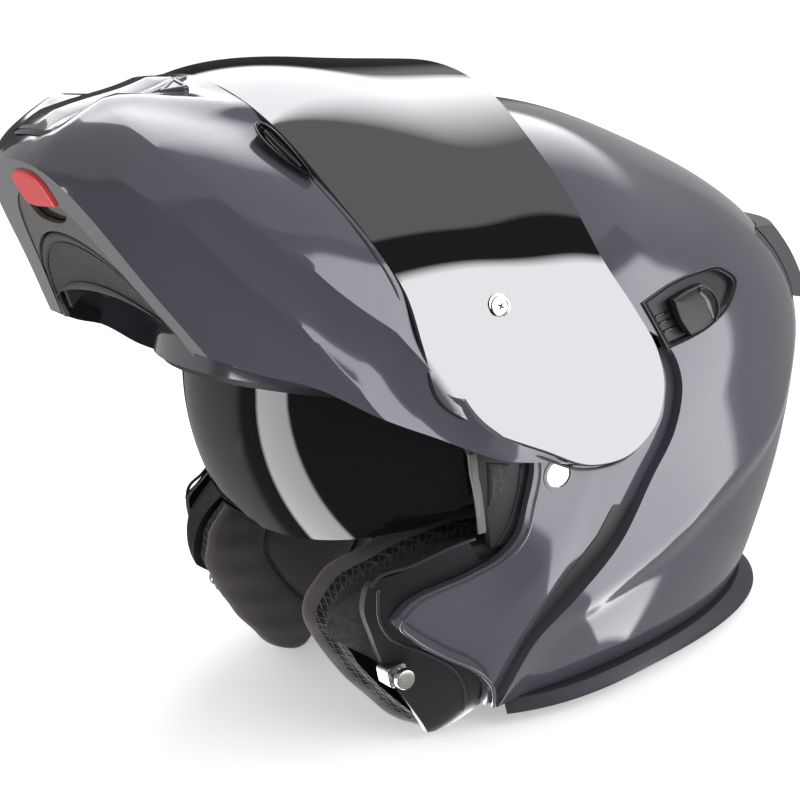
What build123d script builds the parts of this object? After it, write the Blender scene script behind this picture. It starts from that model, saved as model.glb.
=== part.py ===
from build123d import *
import os
from functools import lru_cache
from math import cos, sin, tan, radians, pi

# A modular motorcycle helmet with its chin bar raised. All lengths are in millimetres.
# While it is modelled, the origin is the middle of the chin bar's pivot axis, the wearer
# faces -Y, the wearer's left is +X, and up is +Z. Side-view outlines are pairs (y, z), and
# side-view angles start at the face and turn up over the crown.

# Driving dimensions
profile_unit = 100.0        # the length that all side-view outlines and profiles are shares of
shell_half_width = 128.0    # pivot to pivot is a little less than twice this
shell_wall = 3.5
arm_recess = 5.0            # depth of the recess in the shell's side, in which the arms swing
step_wall = 3.5
opening_angle = 71.0        # chin bar, from closed to raised
visor_travel = 45.0
sun_visor_travel = 38.0
rim_drop = 120.0            # pivot axis down to the shell's lower edge
base_drop = 134.0           # pivot axis down to the surface that the helmet stands on
overrun = 300.0             # reach of every cutting tool past the helmet

# Chin bar, visor and sun visor
arm_half_width = 126.6
chin_wall = 3.0
chin_lip = 6.0
chin_lip_height = 2.5
visor_half_width = 131.5
visor_wall = 2.2
visor_gap = 0.6
sun_half_width = 115.5
sun_radius = 121.0
sun_wall = 2.4

# Linings
eps_half_width = 110.0
head_half_width = 86.0
fabric_gap = 0.8
foam_gap = 0.8
liner_thickness = 9.0
channel_depth = 4.0
channel_width = 5.0
channel_pitch = 26.0
frame_depth = 9.1
frame_wall = 3.0
seat_gap = 0.3

# Pivots
bolt_radius = 5.0
running_clearance = 0.05
bolt_flange_radius = 9.0
bolt_flange = 2.2
base_plate_radius = 19.0
base_plate = 1.1
hub_radius = 14.0
stub_radius = 6.0

# Sections across the helmet, as shares of its half width, and its side profiles:
# (angle, radius as a share of profile_unit, exponent of the superellipse across)
station_shares = [-0.985, -0.93, -0.83, -0.68, -0.48, -0.25, 0, 0.25, 0.48, 0.68, 0.83, 0.93, 0.985]
shell_profile_shares = [
    (0, 1.43, 2.3), (17, 1.40, 2.3), (38, 1.36, 2.3), (60, 1.30, 2.3), (90, 1.252, 2.3), (112, 1.245, 2.35),
    (135, 1.285, 2.4), (150, 1.39, 2.5), (165, 1.535, 2.65), (180, 1.63, 2.75), (195, 1.61, 2.7),
    (210, 1.62, 2.6), (225, 1.68, 2.5), (240, 1.74, 2.55), (270, 1.69, 2.6), (288, 1.71, 2.5),
    (297, 1.79, 2.4), (304, 1.96, 2.3), (312, 1.90, 2.2), (321, 1.80, 2.15), (332, 1.77, 2.15), (345, 1.60, 2.3)]
chin_profile_shares = [
    (0, 1.70, 2.25), (30, 1.50, 2.3), (60, 1.40, 2.3), (90, 1.36, 2.3), (135, 1.38, 2.4), (180, 1.48, 2.5),
    (225, 1.62, 2.6), (255, 1.69, 2.6), (270, 1.70, 2.6), (285, 1.76, 2.5), (298, 1.94, 2.35),
    (310, 2.07, 2.18), (319, 2.15, 2.08), (327, 2.31, 2.12), (334, 2.20, 2.3), (340, 2.02, 2.2),
    (347, 1.90, 2.2)]
visor_profile_shares = [
    (3, 1.60, 2.3), (21, 1.425, 2.3), (40, 1.37, 2.5), (65, 1.36, 2.6), (90, 1.36, 2.3), (135, 1.37, 2.3),
    (180, 1.39, 2.3), (225, 1.45, 2.3), (270, 1.62, 2.3), (297, 1.82, 2.3), (315, 1.94, 2.3),
    (330, 1.98, 2.3), (346, 1.90, 2.3)]
eps_profile_shares = [
    (0, 1.10, 2.3), (30, 1.10, 2.3), (58, 1.12, 2.3), (76, 1.19, 2.3), (90, 1.212, 2.3), (112, 1.205, 2.35),
    (135, 1.245, 2.4), (150, 1.35, 2.5), (165, 1.495, 2.65), (180, 1.59, 2.75), (195, 1.57, 2.7),
    (210, 1.58, 2.6), (225, 1.64, 2.5), (240, 1.70, 2.55), (270, 1.60, 2.6), (300, 1.45, 2.5),
    (330, 1.22, 2.4)]
head_profile_shares = [
    (0, 0.98, 2.3), (30, 0.99, 2.3), (60, 0.98, 2.3), (90, 0.97, 2.3), (112, 0.99, 2.3), (135, 1.04, 2.3),
    (158, 1.10, 2.4), (180, 1.14, 2.4), (202, 1.15, 2.4), (225, 1.22, 2.4), (248, 1.36, 2.5),
    (270, 1.50, 2.5), (295, 1.45, 2.5), (325, 1.15, 2.4)]

# Side-view outlines, as shares of profile_unit
recess_shares = [
    (-2.60, -1.60), (-0.665, -1.60), (-0.665, -1.18), (-0.54, -0.90), (-0.36, -0.755), (-0.10, -0.565),
    (0.10, -0.35), (0.25, -0.20), (0.325, 0.0), (0.29, 0.16), (0.14, 0.29), (-0.20, 0.31), (-0.55, 0.32),
    (-0.85, 0.38), (-1.08, 0.45), (-1.22, 0.53), (-2.60, 0.90)]
step_shares = [
    (-2.60, -1.60), (-0.62, -1.60), (-0.62, -1.19), (-0.50, -0.93), (-0.33, -0.79), (-0.07, -0.605),
    (0.13, -0.385), (0.29, -0.22), (0.37, 0.0), (0.33, 0.19), (0.16, 0.335), (-0.20, 0.355), (-0.55, 0.365),
    (-0.85, 0.425), (-1.08, 0.495), (-1.22, 0.575), (-2.60, 0.95)]
groove_shares = [
    (-0.665, -1.18), (-0.54, -0.90), (-0.36, -0.755), (-0.10, -0.565), (0.10, -0.35), (0.02, -0.30),
    (-0.18, -0.53), (-0.43, -0.73), (-0.57, -0.90)]
port_shares = [
    (-2.60, 0.40), (-1.31, 0.40), (-1.00, 0.33), (-0.70, 0.27), (-0.52, 0.19), (-0.44, 0.06),
    (-0.43, -0.13), (-0.48, -0.28), (-0.53, -0.40), (-0.63, -0.48), (-0.75, -0.515), (-1.00, -0.595),
    (-1.04, -0.66), (-1.00, -0.73), (-0.88, -0.86), (-0.79, -0.94), (-0.73, -1.03), (-0.70, -1.14),
    (-0.68, -1.60), (-2.60, -1.60)]
frame_outer_shares = [
    (-2.60, 0.47), (-1.31, 0.47), (-0.98, 0.40), (-0.66, 0.33), (-0.48, 0.24), (-0.415, 0.08),
    (-0.41, -0.15), (-0.44, -0.33), (-0.50, -0.44), (-2.60, -0.44)]
frame_inner_shares = [
    (-2.60, 0.36), (-1.28, 0.36), (-1.00, 0.29), (-0.80, 0.23), (-0.68, 0.14), (-0.65, 0.0),
    (-0.65, -0.80), (-2.60, -0.80)]
cheek_plate_shares = [
    (-0.60, -0.48), (-0.68, -0.48), (-0.72, -0.37), (-0.99, -0.445), (-1.09, -0.47), (-1.12, -0.56), (-1.09, -0.75),
    (-0.97, -1.13), (-0.90, -1.30), (-0.66, -1.30), (-0.62, -1.10), (-0.80, -0.84), (-0.86, -0.70),
    (-0.60, -0.62)]
eps_cut_shares = [
    (-2.60, 0.34), (-1.10, 0.34), (-0.80, 0.25), (-0.58, 0.14), (-0.50, -0.30), (0.0, -0.37),
    (0.30, -0.40), (0.32, -1.60), (-2.60, -1.60)]
liner_cut_shares = [
    (-2.60, 0.27), (-0.84, 0.27), (-0.58, 0.10), (-0.50, -0.20), (0.30, -0.38), (1.60, -0.62),
    (1.60, -1.60), (-2.60, -1.60)]
visor_shares = [
    (-1.90, -0.455), (-1.64, -0.495), (-1.38, -0.53), (-1.14, -0.54), (-0.95, -0.555), (-0.74, -0.62),
    (-0.53, -0.675), (-0.36, -0.60), (-0.10, -0.42), (0.10, -0.26), (0.18, -0.08), (0.15, 0.09),
    (0.04, 0.20), (-0.10, 0.24), (-0.30, 0.24), (-0.55, 0.24), (-0.85, 0.31), (-1.06, 0.37),
    (-1.19, 0.44), (-1.36, 0.53)]
chin_shares = [
    (-2.60, -1.24), (-1.10, -1.24), (-0.96, -1.14), (-0.84, -1.03), (-0.59, -0.885), (-0.40, -0.75),
    (-0.16, -0.575), (0.02, -0.36), (0.18, -0.18), (0.24, 0.0), (0.17, 0.17), (0.0, 0.235), (-0.17, 0.16),
    (-0.26, -0.06), (-0.40, -0.44), (-0.54, -0.64), (-0.74, -0.628), (-0.95, -0.563), (-1.14, -0.548),
    (-1.38, -0.538), (-1.64, -0.503), (-1.86, -0.466), (-2.60, -0.463)]
sun_shares = [
    (-2.60, -0.42), (-1.12, -0.42), (-0.94, -0.37), (-0.68, -0.27), (-0.61, -0.18), (-0.61, 0.20),
    (-0.74, 0.29), (-2.60, 0.42)]
sun_arm_shares = [
    (-0.64, -0.13), (-0.30, -0.09), (0.0, -0.12), (0.10, -0.08), (0.12, 0.0), (0.10, 0.08), (0.0, 0.12),
    (-0.30, 0.10), (-0.64, 0.15)]
chin_foam_shares = [(-2.60, -1.18), (-1.16, -1.18), (-1.16, -0.62), (-2.60, -0.52)]
chin_lining_shares = [(-2.60, -1.205), (-1.12, -1.205), (-1.12, -0.62), (-2.60, -0.50)]
seal_shares = [
    (-1.061, -1.21), (-0.97, -1.14), (-0.87, -1.055), (-0.90, -1.01), (-1.00, -1.08), (-1.15, -1.18),
    (-1.175, -1.21)]
spoiler_shares = [
    (1.06, 0.41), (1.30, 0.37), (1.90, 0.30), (1.90, -0.07), (1.50, -0.04), (1.26, 0.08), (1.11, 0.24)]
slider_housing_shares = [
    (0.20, 0.37), (0.19, 0.24), (0.26, 0.165), (0.58, 0.175), (0.77, 0.24), (0.81, 0.30), (0.74, 0.355),
    (0.52, 0.41)]
cheek_pad_shares = [
    (-0.26, -1.06), (-0.24, -0.80), (-0.25, -0.54), (-0.34, -0.45), (-0.52, -0.42), (-0.74, -0.42),
    (-0.96, -0.47), (-1.13, -0.53), (-1.23, -0.66), (-1.19, -0.86), (-1.08, -1.08), (-0.96, -1.24),
    (-0.84, -1.30), (-0.70, -1.24), (-0.54, -1.17), (-0.36, -1.14)]


def in_mm(shares):
    """Side-view shares as points in millimetres."""
    return [(y * profile_unit, z * profile_unit) for y, z in shares]


def in_side_view(points):
    """A closed face in the plane of symmetry, from side-view points."""
    return make_face(Plane.YZ * Polyline(*points, close=True))


def across(shares):
    """A side-view outline as a tool that reaches through the whole helmet."""
    return extrude(in_side_view(in_mm(shares)), overrun, both=True)


def on_left(shares, start=0.0):
    """The same outline as a tool on the wearer's left only."""
    return Pos(start, 0, 0) * extrude(in_side_view(in_mm(shares)), overrun, dir=(1, 0, 0))


def box_between(low, high):
    """A box from its lowest corner to its highest."""
    size = [b - a for a, b in zip(low, high)]
    middle = [(a + b) / 2 for a, b in zip(low, high)]
    return Pos(*middle) * Box(*size)


@lru_cache(maxsize=None)
def dome(half_width, name, grow=0.0):
    """A closed dome through scaled side profiles; grow moves its skin out, or in if negative."""
    table = profiles[name]
    sections = []
    for share in station_shares:
        points = []
        for angle, radius_share, exponent in table:
            fall = (1 - abs(share) ** exponent) ** (1 / exponent)
            radius = (radius_share * profile_unit + grow) * fall
            y = -radius * cos(radians(angle))
            z = radius * sin(radians(angle))
            points.append((share * (half_width + grow), y, z))
        sections.append(Wire([Spline(*points, periodic=True)]))
    return Solid.make_loft(sections)


def pole(half_width):
    """Height of a dome's flat end above the plane of symmetry."""
    return half_width * station_shares[-1]


def layer(tool, half_width, name, outer, inner):
    """The part of a tool that lies between two offsets of a dome's skin."""
    return (tool & dome(half_width, name, outer)) - dome(half_width, name, inner)


def rod(radius, start, end, y=0.0, z=0.0):
    """A round bar along X."""
    return Pos((start + end) / 2, y, z) * Cylinder(radius, abs(end - start), rotation=(0, 90, 0))


def both_sides(name, solid):
    """A left piece and its mirror image."""
    return {name + "_left": solid, name + "_right": mirror(solid, about=Plane.YZ)}


def raised(pieces):
    """Pieces of the closed chin bar, turned up about the pivot axis."""
    return {name: solid.rotate(Axis.X, -opening_angle) for name, solid in pieces.items()}


profiles = {
    "shell": shell_profile_shares,
    "chin": chin_profile_shares,
    "visor": visor_profile_shares,
    "eps": eps_profile_shares,
    "head": head_profile_shares,
    "recess": [(angle, radius - arm_recess / profile_unit, n) for angle, radius, n in shell_profile_shares],
    "sun": [(angle, sun_radius / profile_unit, 2.3) for angle in range(0, 360, 24)],
}
recess_half_width = shell_half_width - arm_recess

# The round stud below the arm's tip, and its collar
stud_place_shares = (-0.325, -0.20)
stud_radius = 5.5
stud_height = 5.0
collar_wall = 1.6


def outer_shell():
    """The painted shell: a dome with a recess for the arms, hollowed to an even wall."""
    outside = dome(recess_half_width, "recess") + (dome(shell_half_width, "shell") - across(recess_shares))
    inside = dome(recess_half_width, "recess", -shell_wall)
    inside += dome(shell_half_width, "shell", -shell_wall) - across(step_shares)
    shell = outside - inside - across(port_shares)
    shell -= box_between((-overrun, -overrun, -overrun), (overrun, overrun, -rim_drop))
    for side in (1, -1):
        shell -= rod(bolt_radius + running_clearance, side * overrun, side * eps_half_width)
        stud_y, stud_z = in_mm([stud_place_shares])[0]
        shell -= rod(stud_radius + collar_wall, side * overrun, side * eps_half_width, stud_y, stud_z)
    shell -= on_left(slider_housing_shares)
    return {"outer_shell": shell}


def studs():
    """The polished stud in its collar, one in each side of the shell."""
    stud_y, stud_z = in_mm([stud_place_shares])[0]
    top = dome(recess_half_width, "recess", -seat_gap)
    column = rod(stud_radius, eps_half_width, overrun, stud_y, stud_z)
    deep = dome(recess_half_width, "recess", -stud_height)
    stud = (column & top) - deep
    ring = rod(stud_radius + collar_wall - running_clearance, eps_half_width, overrun, stud_y, stud_z)
    ring -= rod(stud_radius + running_clearance, eps_half_width, overrun, stud_y, stud_z)
    collar = (ring & dome(recess_half_width, "recess", seat_gap)) - deep
    return {**both_sides("stop_stud", stud), **both_sides("stop_collar", collar)}


gasket_height = 0.25


def side_gaskets():
    """The dark rubber strip along the front of the step in the shell's side."""
    strip = layer(on_left(groove_shares), recess_half_width, "recess", gasket_height, running_clearance)
    return both_sides("step_gasket", strip)


def eps_liner():
    """The impact foam: it fills the crown and the back, with a gap in front for the sun visor."""
    foam = dome(eps_half_width, "eps", -seat_gap) - dome(head_half_width, "head")
    foam -= across(eps_cut_shares)
    foam -= box_between((-overrun, -overrun, -overrun), (overrun, overrun, -rim_drop + shell_wall))
    room = [(neck_half_width + seat_gap, neck_rear + seat_gap, neck_rear, height, 0.0)
            for height in (-overrun, -neck_top_drop + seat_gap)]
    foam -= Solid.make_loft([oval(a, r, f, h) for a, r, f, h, _ in room])
    return {"eps_liner": foam}


def crown_liner():
    """The quilted comfort lining of the crown, with channels sewn from front to back."""
    lining = dome(head_half_width, "head", -fabric_gap) - across(liner_cut_shares)
    lining -= dome(head_half_width, "head", -liner_thickness)
    floor = dome(head_half_width, "head", channel_depth - liner_thickness)
    for number in (-2, -1, 0, 1, 2):
        middle = number * channel_pitch
        strip = box_between((middle - channel_width / 2, -overrun, 0), (middle + channel_width / 2, overrun, overrun))
        lining -= strip & floor
    return {"crown_liner": lining}


# Lower trim and neck roll
trim_half_width = 110.0
trim_rear = 117.5
trim_front = 95.0
trim_flare_side = 1.0
trim_flare_rear = 9.0
trim_width = 10.0
trim_front_end = 62.0
oval_exponent = 2.4
neck_half_width = 99.0
neck_rear = 106.0
neck_width = 20.0
neck_top_drop = 80.0
neck_bottom_gap = 1.5
neck_front = 40.0
oval_steps = 24


def oval(half_width, rear, front, height):
    """A closed plan outline at one height: a superellipse, longer behind than in front."""
    points = []
    for step in range(oval_steps):
        turn = 2 * pi * step / oval_steps
        along = abs(cos(turn)) ** (2 / oval_exponent)
        aside = abs(sin(turn)) ** (2 / oval_exponent)
        x = half_width * (aside if sin(turn) > 0 else -aside)
        y = rear * along if cos(turn) > 0 else -front * along
        points.append((x, y, height))
    return Wire([Spline(*points, periodic=True)])


def oval_ring(tiers, width):
    """A ring lofted through ovals: each tier is half width, rear, front, height and inset."""
    outside = Solid.make_loft([oval(a - i, r - i, f - i, h) for a, r, f, h, i in tiers])
    inside = [oval(a - width + i, r - width + i, f - width + i, h) for a, r, f, h, i in tiers]
    return outside - Solid.make_loft(inside)


def base_trim():
    """The soft black edge under the shell, with a lip that runs out behind."""
    top = -rim_drop - seat_gap / 2
    tiers = [
        (trim_half_width, trim_rear, trim_front, top, 0.0),
        (trim_half_width + trim_flare_side, trim_rear + trim_flare_rear, trim_front, -base_drop, 0.0)]
    ring = oval_ring(tiers, trim_width)
    ring -= box_between((-overrun, -overrun, -overrun), (overrun, -trim_front_end, overrun))
    return {"base_trim": ring}


def neck_roll():
    """The padded roll round the nape."""
    low = -base_drop + neck_bottom_gap
    high = -neck_top_drop
    middle = (low + high) / 2
    draw_in = neck_width / 4
    tiers = [
        (neck_half_width, neck_rear, neck_rear, high, draw_in),
        (neck_half_width, neck_rear, neck_rear, middle, 0.0),
        (neck_half_width - draw_in, neck_rear - draw_in, neck_rear, low, draw_in)]
    roll = oval_ring(tiers, neck_width)
    roll -= box_between((-overrun, -overrun, -overrun), (overrun, neck_front, overrun))
    return {"neck_roll": roll}


def face_frames():
    """The black frame of the eye port and the black plates in front of the cheeks."""
    deep = -frame_depth - frame_wall
    frame = across(frame_outer_shares) - across(frame_inner_shares)
    frame = layer(frame, shell_half_width, "shell", -frame_depth, deep)
    plate = layer(on_left(cheek_plate_shares), shell_half_width, "shell", -frame_depth, deep)
    return {"eye_port_frame": frame, **both_sides("cheek_plate", plate)}


# Cheek pads: they lie against a plane that turns with the cheek
cheek_turn = 22.0
cheek_plane_x = 84.0
cheek_plane_y = -70.0
cheek_pad_thickness = 27.0
cheek_foam_thickness = 24.0
pad_crown_shares = [(0.0, 0.97), (0.35, 1.0), (0.75, 0.94), (1.0, 0.74)]
pad_centre_shares = (-0.62, -0.80)
seam_share = 0.62
seam_depth = 3.0
seam_width = 3.0


def cheek_plane(depth):
    """A plane beside the cheek, moved inwards by depth."""
    normal = Vector(cos(radians(cheek_turn)), -sin(radians(cheek_turn)), 0)
    along = Vector(sin(radians(cheek_turn)), cos(radians(cheek_turn)), 0)
    start = Vector(cheek_plane_x, cheek_plane_y, 0) - normal * depth
    return Plane(origin=start, x_dir=along, z_dir=normal)


def cheek_outline(depth, scale):
    """The pad's outline on its plane, shrunk about the pad's middle."""
    centre_y, centre_z = in_mm([pad_centre_shares])[0]
    points = []
    for y, z in in_mm(cheek_pad_shares):
        along = (centre_y + scale * (y - centre_y) - cheek_plane_y) / cos(radians(cheek_turn))
        points.append((along, centre_z + scale * (z - centre_z)))
    return cheek_plane(depth) * Spline(*points, periodic=True)


def cheek_pads():
    """Crowned cheek pads with a sewn seam, on blocks of foam that fill out to the shell."""
    sections = [Wire([cheek_outline(depth * cheek_pad_thickness, scale)]) for depth, scale in pad_crown_shares]
    pad = Solid.make_loft(sections)
    line = cheek_outline(cheek_pad_thickness, seam_share)
    seam = extrude(make_face(line), seam_depth, both=True)
    seam -= extrude(make_face(cheek_outline(cheek_pad_thickness, seam_share - seam_width / profile_unit)),
                    seam_depth + seam_width, both=True)
    pad -= seam
    pad &= dome(shell_half_width, "shell", -frame_depth - frame_wall - foam_gap)
    block = extrude(make_face(cheek_outline(-seat_gap, pad_crown_shares[0][1])), cheek_foam_thickness,
                    dir=tuple(cheek_plane(0).z_dir))
    block &= dome(shell_half_width, "shell", -frame_depth - frame_wall - foam_gap)
    block -= box_between((0, -overrun, -cheek_top_drop), (overrun, overrun, overrun))
    return {**both_sides("cheek_pad", pad), **both_sides("cheek_foam", block)}


cheek_top_drop = 38.0

# Striker pins on the cheek plates
striker_shares = (-1.03, -0.93)
striker_radius = 3.2
striker_head_radius = 4.4
striker_head = 2.5
striker_root = 66.0
striker_end = 92.0
striker_boss = 9.0
striker_boss_end = 82.0


def striker_pins():
    """The steel pins that the chin bar's latches close on."""
    y, z = in_mm([striker_shares])[0]
    pin = rod(striker_radius, striker_root, striker_end, y, z)
    pin += rod(striker_head_radius, striker_end - striker_head, striker_end, y, z)
    boss = striker_boss / 2
    pin += box_between((striker_root, y - boss, z - boss), (striker_boss_end, y + boss, z + boss))
    pin -= dome(shell_half_width, "shell", -frame_depth + 0.02)
    return both_sides("striker_pin", pin)


def pivots():
    """Bolts that carry the arms, the plates that carry the visor, and the visor's hubs."""
    arm_top = pole(arm_half_width)
    inner = pole(eps_half_width) + seat_gap
    bolt = rod(bolt_radius, inner, arm_top)
    bolt += rod(bolt_flange_radius, inner, inner + bolt_flange)
    plate = rod(base_plate_radius, arm_top + running_clearance, arm_top + base_plate)
    stub_end = pole(visor_half_width - visor_wall) - running_clearance
    plate += rod(stub_radius, arm_top + running_clearance, stub_end)
    hub = rod(hub_radius, arm_top + base_plate + seat_gap, stub_end)
    hub -= rod(stub_radius + running_clearance, 0, overrun)
    return both_sides("pivot_bolt", bolt), both_sides("visor_base_plate", plate), both_sides("visor_hub", hub)


def chin_shell():
    """The painted chin bar with its arms, its lip below, and its holes for the pivots."""
    solid = across(chin_shares) & dome(arm_half_width, "chin")
    lip_top = -chin_drop + chin_lip_height
    lip = dome(arm_half_width, "chin", -chin_lip) + box_between((-overrun, -chin_back, -overrun), (overrun, overrun, 0))
    core = box_between((-overrun, -overrun, lip_top), (overrun, overrun, overrun)) + lip
    shell = solid - (dome(arm_half_width, "chin", -chin_wall) & core)
    for side in (1, -1):
        shell -= rod(bolt_radius + running_clearance, side * overrun, 0)
    shell -= front_block(vent_base_half_width + running_clearance, vent_base_shares)
    return shell


chin_drop = 124.0
chin_back = 108.0

# The chin vent, between the crease and the visor
vent_base_half_width = 23.0
vent_cover_half_width = 17.0
vent_base_shares = [(-2.60, -1.16), (-1.80, -1.16), (-1.80, -0.54), (-2.60, -0.54)]
vent_cover_shares = [(-2.60, -1.13), (-1.80, -1.13), (-1.80, -0.57), (-2.60, -0.57)]
vent_rise = 2.0
vent_cover_rise = 6.0
vent_cover_wall = 2.4


def front_block(half_width, shares):
    """A tool for part of the chin bar's front, as wide as a vent piece."""
    return extrude(in_side_view(in_mm(shares)), half_width, both=True)


def chin_vent():
    """The vent's black base in the chin bar, and the cover that slides on it."""
    tool = front_block(vent_base_half_width, vent_base_shares)
    base = layer(tool, arm_half_width, "chin", vent_rise, foam_gap - chin_wall)
    tool = front_block(vent_cover_half_width, vent_cover_shares)
    cover = layer(tool, arm_half_width, "chin", vent_cover_rise, vent_rise + foam_gap)
    return base, cover


def chin_inside():
    """Foam, lining and bottom plates inside the chin bar."""
    foam = layer(across(chin_foam_shares), arm_half_width, "chin", -chin_wall - foam_gap, -chin_foam_depth)
    top = -chin_foam_depth - foam_gap
    lining = layer(across(chin_lining_shares), arm_half_width, "chin", top, top - lining_wall)
    pocket = box_between((-overrun, -latch_pocket_front, -latch_pocket_low), (-latch_pocket_in, 0, 0))
    spare = tab_play * 2
    tab_pocket = box_between((-tab_half_width - tab_flange - spare, -tab_front - spare, -overrun),
                             (tab_half_width + tab_flange + spare, -tab_back + tab_travel + spare, tab_pocket_top))
    for tool in (pocket, mirror(pocket, about=Plane.YZ), tab_pocket):
        foam -= tool
        lining -= tool
    inside = dome(arm_half_width, "chin", -chin_lip - seat_gap)
    floor = box_between((-overrun, -overrun, -chin_drop), (overrun, -chin_back, -chin_drop + plate_wall))
    front = extrude(plan_arch(plate_arch), overrun, both=True)
    back = extrude(plan_arch(curtain_arch), overrun, both=True)
    plate = (inside & floor) - front
    curtain = ((inside & floor) & extrude(plan_arch(plate_arch - seat_gap), overrun, both=True)) - back
    tab_hole = box_between((-tab_half_width - tab_play, -tab_front - tab_play, -overrun),
                           (tab_half_width + tab_play, -tab_back + tab_travel + tab_play, 0))
    plate -= tab_hole
    return {"chin_foam": foam, "chin_lining": lining, "chin_bottom_plate": plate, "chin_curtain": curtain}


chin_foam_depth = 15.0
lining_wall = 2.5
plate_wall = 2.5
plate_arch = 65.0
curtain_arch = 40.0
arch_centre = 100.0
arch_stretch = 0.92
latch_pocket_front = 152.0
latch_pocket_low = 116.0
latch_pocket_in = 76.0
tab_pocket_top = -113.0


def plan_arch(radius):
    """A plan outline round the wearer's chin, seen from below."""
    return Pos(0, -arch_centre, 0) * Ellipse(radius, radius * arch_stretch)


# The release tab and the latches
tab_half_width = 17.0
tab_front = 184.0
tab_back = 172.5
tab_travel = 5.0
tab_play = 0.6
tab_drop = 2.5
tab_flange = 5.0
latch_wall = 2.6
latch_in = 84.0
latch_pin_shares = (-1.25, -0.80)
latch_pin_radius = 2.5
latch_width = 8.0
claw_radius = 7.0
claw_gap = 1.0
claw_reach = 3.0


def release_tab():
    """The red tab in the lip, held above the plate by its flange."""
    low = -chin_drop - tab_drop
    high = -chin_drop + plate_wall + seat_gap
    tab = box_between((-tab_half_width, -tab_front, low), (tab_half_width, -tab_back, high))
    tab += box_between((-tab_half_width - tab_flange, -tab_front, high), (tab_half_width + tab_flange, -tab_back, high + tab_flange))
    return tab & dome(arm_half_width, "chin", -chin_wall - seat_gap)


def latches():
    """A hook on each side that closes round the striker pin, and the pin that it turns on."""
    pin_y, pin_z = in_mm([latch_pin_shares])[0]
    striker_y, striker_z = in_mm([striker_shares])[0]
    along = Vector(striker_y - pin_y, striker_z - pin_z, 0)
    reach = along.length
    slot = striker_radius + claw_gap
    hook = Box(reach, latch_width, latch_wall).moved(Pos(reach / 2, 0, 0))
    hook += Pos(reach, 0, 0) * Cylinder(claw_radius, latch_wall) + Cylinder(claw_radius - claw_gap, latch_wall)
    hook -= Pos(reach, 0, 0) * Cylinder(slot, latch_wall * 2)
    hook -= Pos(reach, overrun / 2, 0) * Box(2 * slot, overrun, latch_wall * 2)
    hook -= Pos(reach + claw_radius, claw_reach + overrun / 2, 0) * Box(2 * claw_radius, overrun, latch_wall * 2)
    hook -= Cylinder(latch_pin_radius + running_clearance, latch_wall * 2)
    place = Plane(origin=(latch_in + latch_wall / 2, pin_y, pin_z), x_dir=(0, along.X, along.Y), z_dir=(1, 0, 0))
    pin = rod(latch_pin_radius, latch_in - latch_wall, overrun, pin_y, pin_z)
    pin &= dome(arm_half_width, "chin", -chin_wall - seat_gap)
    return both_sides("latch", place * hook), both_sides("latch_pin", pin)


def chin_seals():
    """The black rubber strip along the back edge of the chin bar, inside its wall."""
    top = -chin_wall - seat_gap
    strip = layer(on_left(seal_shares), arm_half_width, "chin", top, top - seal_depth)
    return both_sides("chin_seal", strip)


seal_depth = 2.5


def face_shield():
    """The visor: a curved sheet that narrows to a round lobe over each pivot."""
    curve = Plane.YZ * Spline(*in_mm(visor_shares))
    start, end = in_mm([visor_shares[0]])[0], in_mm([visor_shares[-1]])[0]
    rest = Plane.YZ * Polyline(end, (-overrun, end[1]), (-overrun, start[1]), start)
    tool = extrude(make_face([curve, rest]), overrun, both=True)
    for turn in (lens_pin_turn, -lens_pin_turn):
        tool -= lens_pin_rod(lens_pin_radius + running_clearance, turn)
    return layer(tool, visor_half_width, "visor", 0.0, -visor_wall)


def lens_pin_rod(radius, turn):
    """A round bar square to the visor's side, where a pin for the inner lens goes."""
    y, z = in_mm([lens_pin_shares])[0]
    x = lens_pin_x if turn > 0 else -lens_pin_x
    return Pos(x, y, z) * Rot(0, 0, -turn) * Cylinder(radius, profile_unit / 2, rotation=(0, 90, 0))


tab_centre_share = 0.46
lift_tab_half_length = 15.0
lift_tab_height = 9.0
lift_tab_rise = 4.0


def visor_fittings():
    """The lifting tab at the visor's lower edge, and the pins for its inner lens."""
    low_share = -0.535
    low = low_share * profile_unit
    start = lift_tab_x - lift_tab_half_length
    tool = box_between((start, -overrun, low), (lift_tab_x + lift_tab_half_length, 0, low + lift_tab_height))
    tab = layer(tool, visor_half_width, "visor", lift_tab_rise, seat_gap)
    bar = lens_pin_rod(lens_pin_radius, lens_pin_turn)
    pin = layer(bar, visor_half_width, "visor", lens_pin_rise, -visor_wall - lens_pin_reach)
    return tab, pin


lift_tab_x = 78.0
lens_pin_x = 120.0
lens_pin_shares = (-0.69, -0.28)
lens_pin_turn = 20.0
lens_pin_radius = 4.0
lens_pin_rise = 0.8
lens_pin_reach = 3.0


def sun_visor():
    """The dark inner visor and the arms that carry it."""
    arm = layer(on_left(sun_arm_shares), sun_half_width, "sun", 0.0, -sun_wall)
    arm -= rod(bolt_radius + running_clearance, 0, overrun)
    lens = layer(across(sun_shares), sun_half_width, "sun", 0.0, -sun_wall)
    arms = both_sides("sun_visor_arm", arm)
    for piece in arms.values():
        lens -= piece
    return lens, arms


# The sun visor's slider in the left of the shell
slider_housing_rise = 0.4
slider_housing_depth = 3.0
knob_front_share = 0.50
knob_length = 13.0
knob_travel = 14.0
knob_middle_share = 0.285
knob_half_height = 5.0
knob_rise = 4.6
slot_play = 0.5
knob_slope = 0.24
stem_half_height = 1.8


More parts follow.
